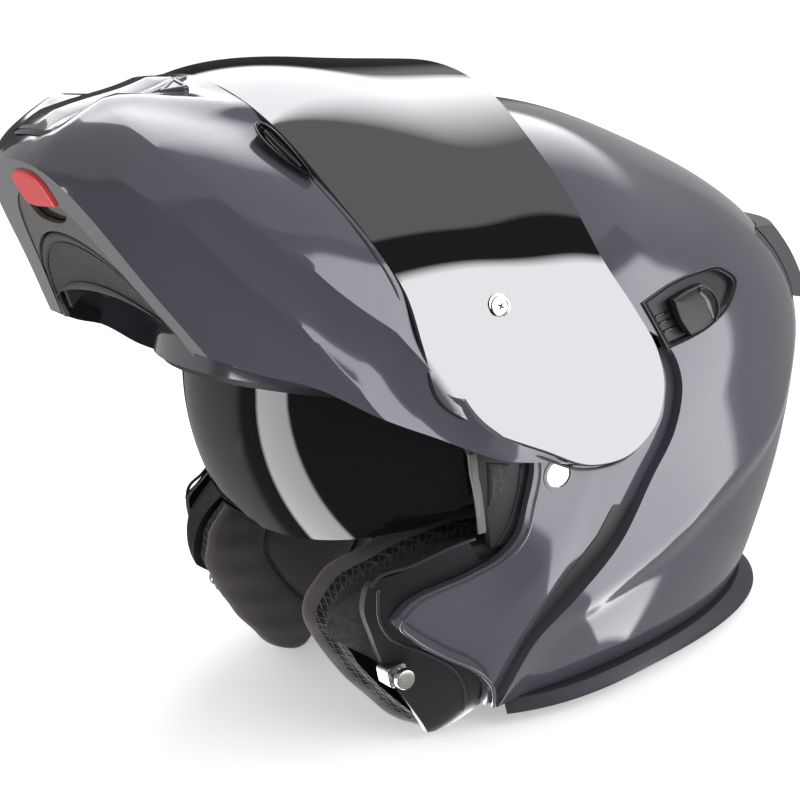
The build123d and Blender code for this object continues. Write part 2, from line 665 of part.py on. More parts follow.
def sun_slider():
    """The black housing, and the knob that slides in its slot."""
    rise = slider_housing_rise
    housing = layer(on_left(slider_housing_shares), shell_half_width, "shell", rise, -slider_housing_depth)
    front = knob_front_share * profile_unit
    middle = knob_middle_share * profile_unit
    slot = box_between((0, front - slot_play, middle - stem_half_height - slot_play),
                       (overrun, front + knob_length + knob_travel + slot_play, middle + stem_half_height + slot_play))
    housing -= slot
    reach = dome(shell_half_width, "shell", knob_rise)
    head = box_between((0, front, middle - knob_half_height), (overrun, front + knob_length, middle + knob_half_height))
    head = (head & reach) - dome(shell_half_width, "shell", rise + seat_gap + slot_play)
    stem = box_between((0, front, middle - stem_half_height), (overrun, front + knob_length, middle + stem_half_height))
    stem = (stem & reach) - dome(shell_half_width, "shell", -slider_housing_depth)
    return housing, head + stem


# Vents on the crown and at the back
crown_vent_half_width = 21.0
crown_vent_front = -32.0
crown_vent_back = 22.0
crown_vent_rise = 4.0
crown_knob_half_width = 10.0
crown_knob_half_length = 8.0
crown_knob_middle = -8.0
crown_knob_rise = 6.8
crown_knob_travel = 8.0
spoiler_half_width = 86.0
spoiler_rise = 6.0


def vents():
    """The crown vent with its slider, and the spoiler with the exhaust at the back."""
    tool = box_between((-crown_vent_half_width, crown_vent_front, 0), (crown_vent_half_width, crown_vent_back, overrun))
    base = layer(tool, shell_half_width, "shell", crown_vent_rise, seat_gap)
    low = crown_knob_middle - crown_knob_half_length
    tool = box_between((-crown_knob_half_width, low, 0),
                       (crown_knob_half_width, low + 2 * crown_knob_half_length, overrun))
    knob = layer(tool, shell_half_width, "shell", crown_knob_rise, crown_vent_rise + 2 * seat_gap)
    tool = front_block(spoiler_half_width, spoiler_shares)
    spoiler = layer(tool, shell_half_width, "shell", spoiler_rise, seat_gap)
    return base, knob, spoiler


# The chin strap, fastened by a ratchet buckle that hangs on the left webbing
strap_front = 1.0
strap_width = 25.0
strap_thickness = 2.0
strap_level = -112.0
strap_route_shares = [(1.04, -0.46), (1.02, -0.78), (0.86, -1.00), (0.46, -1.12)]
anchor_radius = 5.0
anchor_hole = 3.0
anchor_drop = 52.0
anchor_plate = 1.5
buckle_half_length = 20.0
buckle_height = 8.0
buckle_wall = 2.0
buckle_cover = 1.5
tongue_start = -46.0
tongue_end = 12.0
tongue_thickness = 1.6
tooth_count = 9
tooth_pitch = 2.5
tooth_height = 1.0
lever_start = -15.0
lever_end = 17.0
lever_thickness = 1.8
lever_pin_x = -12.0
lever_pin_radius = 1.5
lever_hub_radius = 2.6
lever_opening = 25.0
webbing_end = -30.0


def webbing(end):
    """One length of webbing, from its anchor down to the level of the buckle."""
    route = [(x * profile_unit, z * profile_unit) for x, z in strap_route_shares] + [(end, strap_level)]
    ribbon = extrude(Plane.XZ * trace(Polyline(*route), strap_thickness), strap_width, dir=(0, 1, 0))
    middle = strap_front + strap_width / 2
    return Pos(0, strap_front, 0) * ribbon - rod(anchor_hole + seat_gap, 0, overrun, middle, -anchor_drop)


def chin_strap():
    """Webbing, anchors, the buckle's body with its toothed tongue, and the lever."""
    low_side, high_side = strap_front, strap_front + strap_width
    middle = (low_side + high_side) / 2
    left = webbing(buckle_half_length + seat_gap)
    right = mirror(webbing(-webbing_end), about=Plane.YZ)
    reach = dome(shell_half_width, "shell", -shell_wall - foam_gap)
    anchor_x = strap_route_shares[0][0] * profile_unit - strap_thickness * 2
    anchor = rod(anchor_hole, anchor_x, overrun, middle, -anchor_drop) & reach
    anchor += rod(anchor_radius, anchor_x - anchor_plate, anchor_x, middle, -anchor_drop)
    top = strap_level + strap_thickness / 2
    cover = top - buckle_cover
    half = buckle_half_length
    body = box_between((-half, low_side, top - buckle_height), (half, high_side, top))
    body -= box_between((-overrun, low_side + buckle_wall, -overrun), (overrun, high_side - buckle_wall, cover))
    pin_z = top - buckle_height + lever_pin_radius
    pin = Pos(lever_pin_x, middle, pin_z) * Cylinder(lever_pin_radius, strap_width, rotation=(90, 0, 0))
    body += pin
    side_play = buckle_wall + seat_gap
    tongue_top = strap_level - strap_thickness / 2
    tongue = box_between((tongue_start, low_side + side_play, tongue_top - tongue_thickness),
                         (tongue_end, high_side - side_play, tongue_top))
    valley = tongue_top - tongue_thickness
    for number in range(tooth_count):
        x = tongue_end - number * tooth_pitch
        tooth = Plane.XZ * Polyline((x, valley), (x - tooth_pitch, valley), (x, valley - tooth_height), close=True)
        blade = extrude(make_face(tooth), high_side - low_side - 2 * side_play, dir=(0, 1, 0))
        tongue += Pos(0, low_side + side_play, 0) * blade
    lever_top = valley - tooth_height - seat_gap
    lever = box_between((lever_start, low_side + side_play, lever_top - lever_thickness),
                        (lever_end, high_side - side_play, lever_top))
    hub = Pos(lever_pin_x, middle, pin_z) * Cylinder(lever_hub_radius, strap_width - 2 * side_play,
                                                      rotation=(90, 0, 0))
    lever = (lever + hub) - Pos(lever_pin_x, middle, pin_z) * Cylinder(
        lever_pin_radius + running_clearance, strap_width * 2, rotation=(90, 0, 0))
    return {"chin_strap_left": left, "chin_strap_right": right, **both_sides("strap_anchor", anchor),
            "buckle_body": body, "buckle_tongue": tongue, "buckle_lever": lever}


def build():
    """All pieces by name, at rest."""
    pieces = {}
    for maker in (outer_shell, studs, side_gaskets, eps_liner, crown_liner, base_trim, neck_roll, face_frames,
                  cheek_pads, striker_pins):
        pieces.update(maker())
    bolts, plates, hubs = pivots()
    pieces.update(bolts)
    closed = {"chin_shell": chin_shell(), **plates, **hubs, **chin_inside(), **chin_seals()}
    closed["chin_vent_base"], closed["chin_vent_cover"] = chin_vent()
    closed["release_tab"] = release_tab()
    hooks, pins = latches()
    closed.update(hooks)
    closed.update(pins)
    closed["face_shield"] = face_shield()
    closed["visor_lift_tab"], pin = visor_fittings()
    closed.update(both_sides("lens_pin", pin))
    pieces.update(raised(closed))
    pieces["sun_visor"], arms = sun_visor()
    pieces.update(arms)
    pieces["slider_housing"], pieces["sun_slider_knob"] = sun_slider()
    pieces["crown_vent_base"], pieces["crown_vent_slider"], pieces["rear_spoiler"] = vents()
    pieces.update(chin_strap())
    return pieces


os.makedirs("parts", exist_ok=True)
helmet = build()
box = Compound(children=[Compound(solid.solids()) for solid in helmet.values()]).bounding_box()
shift = Pos(-(box.min.X + box.max.X) / 2, -(box.min.Y + box.max.Y) / 2, base_drop)
print("box", box.min, box.max, "shift", shift.position)
for name, solid in helmet.items():
    placed = shift * Compound(solid.solids())
    export_step(placed, "parts/" + name + ".step")
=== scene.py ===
from math import cos, sin, radians, pi

import bpy
import numpy as np
from mathutils import Matrix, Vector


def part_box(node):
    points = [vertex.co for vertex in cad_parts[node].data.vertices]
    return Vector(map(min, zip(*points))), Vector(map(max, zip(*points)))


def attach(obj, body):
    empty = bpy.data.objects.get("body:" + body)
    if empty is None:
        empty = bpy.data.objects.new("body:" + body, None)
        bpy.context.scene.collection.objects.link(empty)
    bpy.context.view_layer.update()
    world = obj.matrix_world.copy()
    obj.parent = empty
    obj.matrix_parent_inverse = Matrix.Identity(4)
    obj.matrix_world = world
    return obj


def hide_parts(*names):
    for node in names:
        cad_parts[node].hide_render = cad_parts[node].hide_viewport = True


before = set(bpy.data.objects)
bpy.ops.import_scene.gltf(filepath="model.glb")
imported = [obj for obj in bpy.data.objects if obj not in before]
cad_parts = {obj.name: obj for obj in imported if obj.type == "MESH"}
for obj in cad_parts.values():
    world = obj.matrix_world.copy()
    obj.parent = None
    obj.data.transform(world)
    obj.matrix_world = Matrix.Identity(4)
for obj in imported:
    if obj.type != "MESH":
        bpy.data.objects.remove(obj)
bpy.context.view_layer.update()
print("frame loaded")

# Places in this file are in metres from the middle of the hinge axis, with the chin bar closed,
# and are turned and moved into the shared frame when a mesh is made.
hinge = {
    "place": (0.0, 0.00579181, 0.134),
    "opening": 71.0,        # degrees that the raised chin bar is turned by
    "unit": 0.1,            # metres to one share of a side-view outline
}

# Side profiles: angle from the face over the crown, radius share, exponent across
domes = {
    "shell": {"halfWidth": 0.128, "table": [
        (0, 1.43, 2.3), (17, 1.40, 2.3), (38, 1.36, 2.3), (60, 1.30, 2.3), (90, 1.252, 2.3), (112, 1.245, 2.35),
        (135, 1.285, 2.4), (150, 1.39, 2.5), (165, 1.535, 2.65), (180, 1.63, 2.75), (195, 1.61, 2.7),
        (210, 1.62, 2.6), (225, 1.68, 2.5), (240, 1.74, 2.55), (270, 1.69, 2.6), (288, 1.71, 2.5),
        (297, 1.79, 2.4), (304, 1.96, 2.3), (312, 1.90, 2.2), (321, 1.80, 2.15), (332, 1.77, 2.15),
        (345, 1.60, 2.3)]},
    "chin": {"halfWidth": 0.1266, "table": [
        (0, 1.70, 2.25), (30, 1.50, 2.3), (60, 1.40, 2.3), (90, 1.36, 2.3), (135, 1.38, 2.4), (180, 1.48, 2.5),
        (225, 1.62, 2.6), (255, 1.69, 2.6), (270, 1.70, 2.6), (285, 1.76, 2.5), (298, 1.94, 2.35),
        (310, 2.07, 2.18), (319, 2.15, 2.08), (327, 2.31, 2.12), (334, 2.20, 2.3), (340, 2.02, 2.2),
        (347, 1.90, 2.2)]},
    "visor": {"halfWidth": 0.1315, "table": [
        (3, 1.60, 2.3), (21, 1.425, 2.3), (40, 1.37, 2.5), (65, 1.36, 2.6), (90, 1.36, 2.3), (135, 1.37, 2.3),
        (180, 1.39, 2.3), (225, 1.45, 2.3), (270, 1.62, 2.3), (297, 1.82, 2.3), (315, 1.94, 2.3),
        (330, 1.98, 2.3), (346, 1.90, 2.3)]},
    "head": {"halfWidth": 0.086, "table": [
        (0, 0.98, 2.3), (30, 0.99, 2.3), (60, 0.98, 2.3), (90, 0.97, 2.3), (112, 0.99, 2.3), (135, 1.04, 2.3),
        (158, 1.10, 2.4), (180, 1.14, 2.4), (202, 1.15, 2.4), (225, 1.22, 2.4), (248, 1.36, 2.5),
        (270, 1.50, 2.5), (295, 1.45, 2.5), (325, 1.15, 2.4)]},
    "sun": {"halfWidth": 0.1155, "table": [(angle, 1.21, 2.3) for angle in range(0, 360, 24)]},
}


sides = ((1, "left"), (-1, "right"))


# Curves and grids

def roundSpline(knots, values, at):
    # A cubic through the knots that closes after 360 degrees: the bends at the knots come from one
    # linear system, and each span is the usual cubic between two values and two bends.
    knots = np.asarray(knots, float)
    values = np.asarray(values, float)
    count = len(knots)
    span = np.diff(np.append(knots, knots[0] + 360.0))
    slope = (np.roll(values, -1) - values) / span
    here = np.arange(count)
    before, after = (here - 1) % count, (here + 1) % count
    system = np.zeros((count, count))
    system[here, before] += span[before]
    system[here, here] += 2 * (span[before] + span)
    system[here, after] += span
    bend = np.linalg.solve(system, 6 * (slope - slope[before]))
    turned = np.mod(at - knots[0], 360.0) + knots[0]
    k = np.searchsorted(knots, turned, side="right") - 1
    width = span[k]
    a = (knots[k] + width - turned) / width
    b = 1 - a
    end = (k + 1) % count
    bowed = (a ** 3 - a) * bend[k] + (b ** 3 - b) * bend[end]
    return a * values[k] + b * values[end] + bowed * width ** 2 / 6


def domePoint(name, share, angle, grow=0.0):
    # x is the share of the half width. y and z turn round the hinge at the profile's radius, times
    # (1 - share^n)^(1/n), the fall of a superellipse towards each side.
    table = np.array(domes[name]["table"], float)
    radius = roundSpline(table[:, 0], table[:, 1], angle) * hinge["unit"] + grow
    power = roundSpline(table[:, 0], table[:, 2], angle)
    fall = np.clip(1 - np.abs(share) ** power, 0, 1) ** (1 / power)
    turn = np.radians(angle)
    x = share * (domes[name]["halfWidth"] + grow)
    return np.stack([x + 0 * turn, -radius * fall * np.cos(turn), radius * fall * np.sin(turn)], -1)


def sideShare(name, y, z, grow=0.0):
    # The share across at which the dome stands over a side-view point: the superellipse read backwards.
    table = np.array(domes[name]["table"], float)
    angle = np.degrees(np.arctan2(z, -y))
    radius = roundSpline(table[:, 0], table[:, 1], angle) * hinge["unit"] + grow
    power = roundSpline(table[:, 0], table[:, 2], angle)
    fall = np.clip(np.hypot(y, z) / radius, 0, 1)
    return (1 - fall ** power) ** (1 / power)


def onSide(name, points, grow=0.0):
    # Side-view points lifted along x on to a dome.
    y, z = points[:, 0], points[:, 1]
    return np.stack([sideShare(name, y, z, grow) * (domes[name]["halfWidth"] + grow), y, z], -1)


def softCurve(shares, steps=10, corners=(), closed=True):
    # A Catmull-Rom curve through side-view points. At a corner the curve's tangent is dropped, so
    # that the corner stays.
    points = np.array(shares, float) * hinge["unit"]
    count = len(points)
    if closed:
        before, after = np.roll(points, 1, 0), np.roll(points, -1, 0)
    else:
        before = np.vstack([2 * points[:1] - points[1:2], points[:-1]])
        after = np.vstack([points[1:], 2 * points[-1:] - points[-2:-1]])
    gap = np.linalg.norm(after - points, axis=1, keepdims=True)
    back = np.linalg.norm(points - before, axis=1, keepdims=True)
    tangent = ((after - points) / gap * back + (points - before) / back * gap) / (gap + back)
    tangent[list(corners)] = 0
    spans = count if closed else count - 1
    start, end = np.arange(spans), (np.arange(spans) + 1) % count
    t = (np.arange(steps) / steps)[None, :, None]
    length = gap[start][:, None]
    a, b = points[start][:, None], points[end][:, None]
    ta, tb = tangent[start][:, None] * length, tangent[end][:, None] * length
    curve = ((2 * t ** 3 - 3 * t ** 2 + 1) * a + (t ** 3 - 2 * t ** 2 + t) * ta
             + (3 * t ** 2 - 2 * t ** 3) * b + (t ** 3 - t ** 2) * tb)
    curve = curve.reshape(-1, 2)
    return curve if closed else np.vstack([curve, points[-1:]])


def intoFrame(points, raised=False):
    # Turns the chin bar's points up about the hinge, and moves all into the shared frame.
    points = np.array(points, float)
    if raised:
        c, s = cos(radians(hinge["opening"])), sin(radians(hinge["opening"]))
        y, z = points[..., 1].copy(), points[..., 2].copy()
        points[..., 1], points[..., 2] = y * c + z * s, z * c - y * s
    return points + np.array(hinge["place"])


def newPiece(name, points, quads, triangles=None, smooth=True):
    # Fills a mesh from whole arrays: points, then four-cornered faces, then three-cornered ones.
    mesh = bpy.data.meshes.new(name)
    points = np.asarray(points, np.float32).reshape(-1, 3)
    quads = np.asarray(quads, np.int32).reshape(-1, 4)
    triangles = np.asarray([] if triangles is None else triangles, np.int32).reshape(-1, 3)
    corners = np.concatenate([quads.ravel(), triangles.ravel()])
    starts = np.concatenate([np.arange(len(quads)) * 4, len(quads) * 4 + np.arange(len(triangles)) * 3])
    mesh.vertices.add(len(points))
    mesh.vertices.foreach_set("co", points.ravel())
    mesh.loops.add(len(corners))
    mesh.loops.foreach_set("vertex_index", corners)
    mesh.polygons.add(len(starts))
    mesh.polygons.foreach_set("loop_start", starts.astype(np.int32))
    mesh.polygons.foreach_set("use_smooth", np.full(len(starts), smooth))
    mesh.update(calc_edges=True)
    mesh.validate()
    piece = bpy.data.objects.new(name, mesh)
    bpy.context.scene.collection.objects.link(piece)
    return piece


def gridFaces(rows, columns, closeRows=False, closeColumns=False, flip=False):
    # Faces of a grid whose points are numbered row by row.
    i = np.arange(rows if closeRows else rows - 1)[:, None]
    j = np.arange(columns if closeColumns else columns - 1)[None, :]
    a = i * columns + j
    b = i * columns + (j + 1) % columns
    c = ((i + 1) % rows) * columns + (j + 1) % columns
    d = ((i + 1) % rows) * columns + j
    faces = np.stack([a, b, c, d] if not flip else [a, d, c, b], -1)
    return faces.reshape(-1, 4)


def closedGrid(name, grid, ends):
    # A closed form from a grid of points: each row closes on itself, and the first and the last
    # row close on an end point each.
    rows, columns = grid.shape[:2]
    j = np.arange(columns)
    near, far, last = rows * columns, rows * columns + 1, (rows - 1) * columns
    caps = np.vstack([np.stack([np.full(columns, near), (j + 1) % columns, j], -1),
                      np.stack([np.full(columns, far), last + j, last + (j + 1) % columns], -1)])
    points = np.vstack([grid.reshape(-1, 3), ends])
    return outwards(newPiece(name, points, gridFaces(rows, columns, closeColumns=True), caps))


def closedDome(name, grow=0.0, guides=None, rows=170, ridge=None, raised=False, label=None):
    # A whole dome: rows of points across by an even turn, so that they crowd where the surface
    # falls away, and columns round the hinge that can follow guide lines such as a crease.
    turn = np.linspace(-90, 90, rows + 2)[1:-1]
    share = (np.sign(turn) * np.abs(np.sin(np.radians(turn))) ** 0.87)[:, None]
    if guides is None:
        angle = np.linspace(0, 360, 321)[None, :-1] + 0 * share
    else:
        lines = [line(np.abs(share)) for line, _ in guides]
        counts = [count for _, count in guides]
        parts = []
        for k, count in enumerate(counts):
            end = lines[k + 1] if k + 1 < len(lines) else lines[0] + 360
            parts.append(lines[k] + (end - lines[k]) * (np.arange(count) / count)[None, :])
        angle = np.hstack(parts)
    points = domePoint(name, share, angle, grow)
    if ridge is not None:
        down = np.gradient(points, axis=0)
        wrapped = np.concatenate([points[:, -1:], points, points[:, :1]], 1)
        along = (wrapped[:, 2:] - wrapped[:, :-2]) / 2
        normal = np.cross(down, along)
        normal /= np.linalg.norm(normal, axis=-1, keepdims=True) + 1e-12
        outward = np.sign((normal * points).sum(-1, keepdims=True))
        points = points + normal * outward * ridge(np.abs(share), angle)[..., None]
    half = domes[name]["halfWidth"] + grow
    ends = [[-half, 0, 0], [half, 0, 0]]
    return closedGrid(label or name, intoFrame(points, raised), intoFrame(ends, raised))


def outwards(piece):
    # Turns a closed mesh's faces so that its volume, summed over its triangles, is positive.
    mesh = piece.data
    mesh.calc_loop_triangles()
    points = np.empty(len(mesh.vertices) * 3)
    mesh.vertices.foreach_get("co", points)
    corners = np.empty(len(mesh.loop_triangles) * 3, np.int32)
    mesh.loop_triangles.foreach_get("vertices", corners)
    a, b, c = points.reshape(-1, 3)[corners.reshape(-1, 3)].transpose(1, 0, 2)
    if (a * np.cross(b, c)).sum() < 0:
        mesh.flip_normals()
    return piece


def prism(outline, low=-0.3, high=0.3, raised=False):
    # A side-view outline carried along x.
    outline = np.asarray(outline, float)
    count = len(outline)
    ends = [np.column_stack([np.full(count, x), outline]) for x in (low, high)]
    mesh = bpy.data.meshes.new("tool")
    faces = [list(quad) for quad in gridFaces(2, count, closeColumns=True).tolist()]
    faces += [list(range(count))[::-1], list(range(count, 2 * count))]
    mesh.from_pydata(intoFrame(np.vstack(ends), raised).tolist(), [], faces)
    piece = bpy.data.objects.new("tool", mesh)
    bpy.context.scene.collection.objects.link(piece)
    return outwards(piece)


def block(low, high, raised=False):
    # A box as a side-view rectangle carried along x.
    outline = [(low[1], low[2]), (high[1], low[2]), (high[1], high[2]), (low[1], high[2])]
    return prism(outline, low[0], high[0], raised)


def carve(piece, steps):
    # Runs a chain of cuts, joins and overlaps with other closed meshes, then drops the tools.
    for operation, tool in steps:
        cut = piece.modifiers.new("cut", "BOOLEAN")
        cut.operation = operation
        cut.solver = "MANIFOLD"
        cut.object = tool
    bpy.context.view_layer.update()
    shaped = bpy.data.meshes.new_from_object(piece.evaluated_get(bpy.context.evaluated_depsgraph_get()))
    old = piece.data
    piece.modifiers.clear()
    piece.data = shaped
    shaped.name = old.name
    bpy.data.meshes.remove(old)
    for _, tool in steps:
        bpy.data.objects.remove(tool)
    return piece


def crisp(piece, angle=32.0):
    # Smooth faces, with the edges kept sharp where two faces meet at more than the angle.
    piece.data.polygons.foreach_set("use_smooth", np.full(len(piece.data.polygons), True))
    piece.data.set_sharp_from_angle(angle=radians(angle))
    return piece


def tube(name, path, radius, closed=False, around=10, raised=False):
    # A round bead along a path: at each point a circle stands in the plane of two directions square
    # to the path, the first of which is carried on from point to point. The radius may vary.
    path = np.asarray(path, float)
    radius = np.broadcast_to(np.asarray(radius, float), len(path))
    ahead = np.roll(path, -1, 0) - np.roll(path, 1, 0) if closed else np.gradient(path, axis=0)
    ahead /= np.linalg.norm(ahead, axis=1, keepdims=True)
    reference = np.eye(3)[np.argmin(np.abs(ahead).max(0))] + [0.01, 0.02, 0.03]
    sideways = np.cross(ahead, reference)
    sideways /= np.linalg.norm(sideways, axis=1, keepdims=True)
    upwards = np.cross(ahead, sideways)
    turn = np.linspace(0, 2 * pi, around + 1)[None, :-1, None]
    spokes = np.cos(turn) * sideways[:, None] + np.sin(turn) * upwards[:, None]
    rings = intoFrame(path[:, None] + radius[:, None, None] * spokes, raised)
    if closed:
        return outwards(newPiece(name, rings, gridFaces(len(path), around, True, True)))
    return closedGrid(name, rings, intoFrame(path[[0, -1]], raised))


# Materials: one wrapper for sockets, so that shader maths is written as it is read

class Link:
    def __init__(self, tree, socket):
        self.tree, self.socket = tree, socket

    def maths(self, operation, other=None, swapped=False):
        node = self.tree.nodes.new("ShaderNodeMath")
        node.operation = operation
        ends = [self, other] if not swapped else [other, self]
        for slot, end in zip(node.inputs, ends):
            if isinstance(end, Link):
                self.tree.links.new(end.socket, slot)
            elif end is not None:
                slot.default_value = end
        return Link(self.tree, node.outputs[0])

    def __add__(self, other):
        return self.maths("ADD", other)

    def __radd__(self, other):
        return self.maths("ADD", other, True)

    def __sub__(self, other):
        return self.maths("SUBTRACT", other)

    def __rsub__(self, other):
        return self.maths("SUBTRACT", other, True)

    def __mul__(self, other):
        return self.maths("MULTIPLY", other)

    def __rmul__(self, other):
        return self.maths("MULTIPLY", other, True)

    def __truediv__(self, other):
        return self.maths("DIVIDE", other)

    def __pow__(self, other):
        return self.maths("POWER", other)

    def least(self, other):
        return self.maths("MINIMUM", other)

    def most(self, other):
        return self.maths("MAXIMUM", other)

    def between(self, low, high, soft):
        # 1 between two values and 0 outside, with soft edges.
        rise = ((self - low) / soft + 0.5).most(0.0).least(1.0)
        fall = ((high - self) / soft + 0.5).most(0.0).least(1.0)
        return rise * fall


class Finish:
    def __init__(self, name, world=False):
        self.data = bpy.data.worlds.new(name) if world else bpy.data.materials.new(name)
        self.data.use_nodes = True
        self.tree = self.data.node_tree
        self.tree.nodes.clear()

    def add(self, kind, settings=None, out=0, **values):
        node = self.tree.nodes.new(kind)
        for key, value in (settings or {}).items():
            if key == "stops":
                ramp = node.color_ramp
                while len(ramp.elements) < len(value):
                    ramp.elements.new(0.5)
                for stop, (place, colour) in zip(ramp.elements, value):
                    stop.position = place
                    stop.color = colour if len(colour) == 4 else (*colour, 1)
            else:
                setattr(node, key, value)
        for key, value in values.items():
            numbered = key[0] == "i" and key[1:].isdigit()
            slot = node.inputs[int(key[1:]) if numbered else key.replace("_", " ")]
            if isinstance(value, Link):
                self.tree.links.new(value.socket, slot)
            else:
                slot.default_value = value
        return Link(self.tree, node.outputs[out])

    def blendColour(self, factor, a, b):
        values = {"i6": a if isinstance(a, Link) else (*a, 1), "i7": b if isinstance(b, Link) else (*b, 1)}
        return self.add("ShaderNodeMix", {"data_type": "RGBA"}, 2, i0=factor, **values)

    def place(self):
        return self.add("ShaderNodeTexCoord", out=3)

    def bump(self, height, strength, distance):
        return self.add("ShaderNodeBump", i0=strength, i1=distance, Height=height)

    def shader(self, **values):
        return self.add("ShaderNodeBsdfPrincipled", **values)

    def finish(self, surface):
        kind = "World" if isinstance(self.data, bpy.types.World) else "Material"
        out = self.tree.nodes.new("ShaderNodeOutput" + kind)
        self.tree.links.new(surface.socket, out.inputs[0])
        return self.data


def paintFinish():
    # Glossy grey lacquer: a faint drift of tone, and a very low orange-peel in the clear coat.
    look = {"colour": (0.051, 0.052, 0.063), "drift": 0.05, "peelScale": 260.0, "peel": 0.001,
            "shine": (0.86, 0.87, 1.0, 1)}
    f = Finish("greyLacquer")
    cloud = f.add("ShaderNodeTexNoise", Vector=f.place(), Scale=9.0, Detail=2.0)
    tone = f.blendColour(cloud, [c * (1 - look["drift"]) for c in look["colour"]],
                         [c * (1 + look["drift"]) for c in look["colour"]])
    peel = f.add("ShaderNodeTexNoise", Vector=f.place(), Scale=look["peelScale"], Detail=1.0)
    bumps = f.bump(peel, look["peel"], 0.001)
    return f.finish(f.shader(Base_Color=tone, Roughness=0.14, Specular_Tint=look["shine"], Coat_Weight=1.0,
                             Coat_Roughness=0.02, Normal=bumps))


def mouldedFinish(name, colour, roughness, grain=900.0, depth=0.16, coat=0.0):
    # Moulded plastic or rubber: fine grain in the surface, and a roughness that wanders a little.
    f = Finish(name)
    fine = f.add("ShaderNodeTexNoise", Vector=f.place(), Scale=grain, Detail=3.0)
    broad = f.add("ShaderNodeTexNoise", Vector=f.place(), Scale=22.0, Detail=3.0)
    tone = f.blendColour(broad, [c * 0.85 for c in colour], [c * 1.15 for c in colour])
    return f.finish(f.shader(Base_Color=tone, Roughness=roughness - 0.05 + broad * 0.1, Coat_Weight=coat,
                             Coat_Roughness=0.05, Normal=f.bump(fine, depth, 0.0004)))


def clothFinish(name, colour, thread, sheen=0.35, weave=0.35, napAndShadeTone=0.7):
    # Brushed knit: two crossed sets of threads as sine waves, and soft blotches in the nap. The tone is
    # mostly the nap's own blotches and partly painted shade, darker in the knit's hollows.
    f = Finish(name)
    split = f.tree.nodes.new("ShaderNodeSeparateXYZ")
    f.tree.links.new(f.place().socket, split.inputs[0])
    x, y, z = (Link(f.tree, out) for out in split.outputs)
    warp = ((x + y) * thread).maths("SINE")
    weft = ((z + y * 0.35) * thread).maths("SINE")
    knit = warp * weft * 0.5 + 0.5
    nap = f.add("ShaderNodeTexNoise", Vector=f.place(), Scale=35.0, Detail=4.0)
    fuzz = f.add("ShaderNodeTexNoise", Vector=f.place(), Scale=700.0, Detail=2.0)
    # The dark end of the tone comes from the nap's blotches and, as painted shade, from the knit's hollows.
    tone = f.blendColour(nap * 0.7 + knit * 0.3, [c * napAndShadeTone for c in colour], [c * 1.25 for c in colour])
    return f.finish(f.shader(Base_Color=tone, Roughness=0.88, Sheen_Weight=sheen, Sheen_Roughness=0.45,
                             Sheen_Tint=(0.75, 0.68, 0.66, 1),
                             Normal=f.bump(knit * weave + fuzz * 0.5, 0.6, 0.0006)))


def airMeshFinish(name, cell, along, across, colour=(0.016, 0.016, 0.017), hole=(0.001, 0.001, 0.001)):
    # Spacer mesh: two sets of threads cross in diamonds. Each set lies where the sine of a slanting
    # coordinate is near zero. The openings between the threads are painted near-black, painted shade
    # for the dark seen through them.
    f = Finish(name)
    split = f.tree.nodes.new("ShaderNodeSeparateXYZ")
    f.tree.links.new(f.place().socket, split.inputs[0])
    x, y, z = (Link(f.tree, out) for out in split.outputs)
    u = x * along[0] + y * along[1] + z * along[2]
    v = x * across[0] + y * across[1] + z * across[2]
    turns = pi / cell
    first = ((u + v * 0.62) * turns).maths("SINE").maths("ABSOLUTE")
    second = ((u - v * 0.62) * turns).maths("SINE").maths("ABSOLUTE")
    thread = 1 - (first.least(second) / 0.55).least(1.0)
    ply = f.add("ShaderNodeTexNoise", Vector=f.place(), Scale=1500.0, Detail=2.0)
    # The hole colour is painted shade in the openings. The threads take the mesh's own colour.
    tone = f.blendColour(thread * (0.6 + ply * 0.4), hole, colour)
    return f.finish(f.shader(Base_Color=tone, Roughness=0.75, Sheen_Weight=0.15,
                             Normal=f.bump(thread, 1.0, 0.0012)))


def visorFinish():
    # Silver mirror coat on a clear sheet. The coat is a tinted metal layer over a see-through sheet,
    # and its strength is even over the face, with faint wiping marks in the roughness.
    look = {"silver": (0.26, 0.263, 0.27), "seeThrough": 0.10, "tint": (0.30, 0.31, 0.33)}
    f = Finish("silverVisor")
    smear = f.add("ShaderNodeTexNoise", Vector=f.place(), Scale=14.0, Detail=5.0, Distortion=0.6)
    mirror = f.shader(Base_Color=(*look["silver"], 1), Metallic=1.0, Roughness=0.015 + smear * 0.02)
    clear = f.add("ShaderNodeBsdfTransparent", Color=(*look["tint"], 1))
    return f.finish(f.add("ShaderNodeMixShader", i0=look["seeThrough"], i1=mirror, i2=clear))


def smokedFinish():
    # Dark grey polycarbonate that lets a little light through.
    f = Finish("smokedSheet")
    haze = f.add("ShaderNodeTexNoise", Vector=f.place(), Scale=11.0, Detail=3.0)
    gloss = f.shader(Base_Color=(0.006, 0.006, 0.007, 1), Roughness=0.02 + haze * 0.03, IOR=1.6,
                     Coat_Weight=0.6, Coat_Roughness=0.02)
    clear = f.add("ShaderNodeBsdfTransparent", Color=(0.20, 0.20, 0.22, 1))
    return f.finish(f.add("ShaderNodeMixShader", i0=0.35, i1=gloss, i2=clear))


def metalFinish(name, colour, roughness):
    # Turned steel: fine scratches round the part, and slight staining.
    f = Finish(name)
    stain = f.add("ShaderNodeTexNoise", Vector=f.place(), Scale=120.0, Detail=4.0)
    lines = f.add("ShaderNodeTexNoise", Vector=f.place(), Scale=2200.0, Detail=1.0)
    tone = f.blendColour(stain, [c * 0.85 for c in colour], colour)
    return f.finish(f.shader(Base_Color=tone, Metallic=1.0, Roughness=roughness + stain * 0.08,
                             Normal=f.bump(lines, 0.08, 0.0002)))


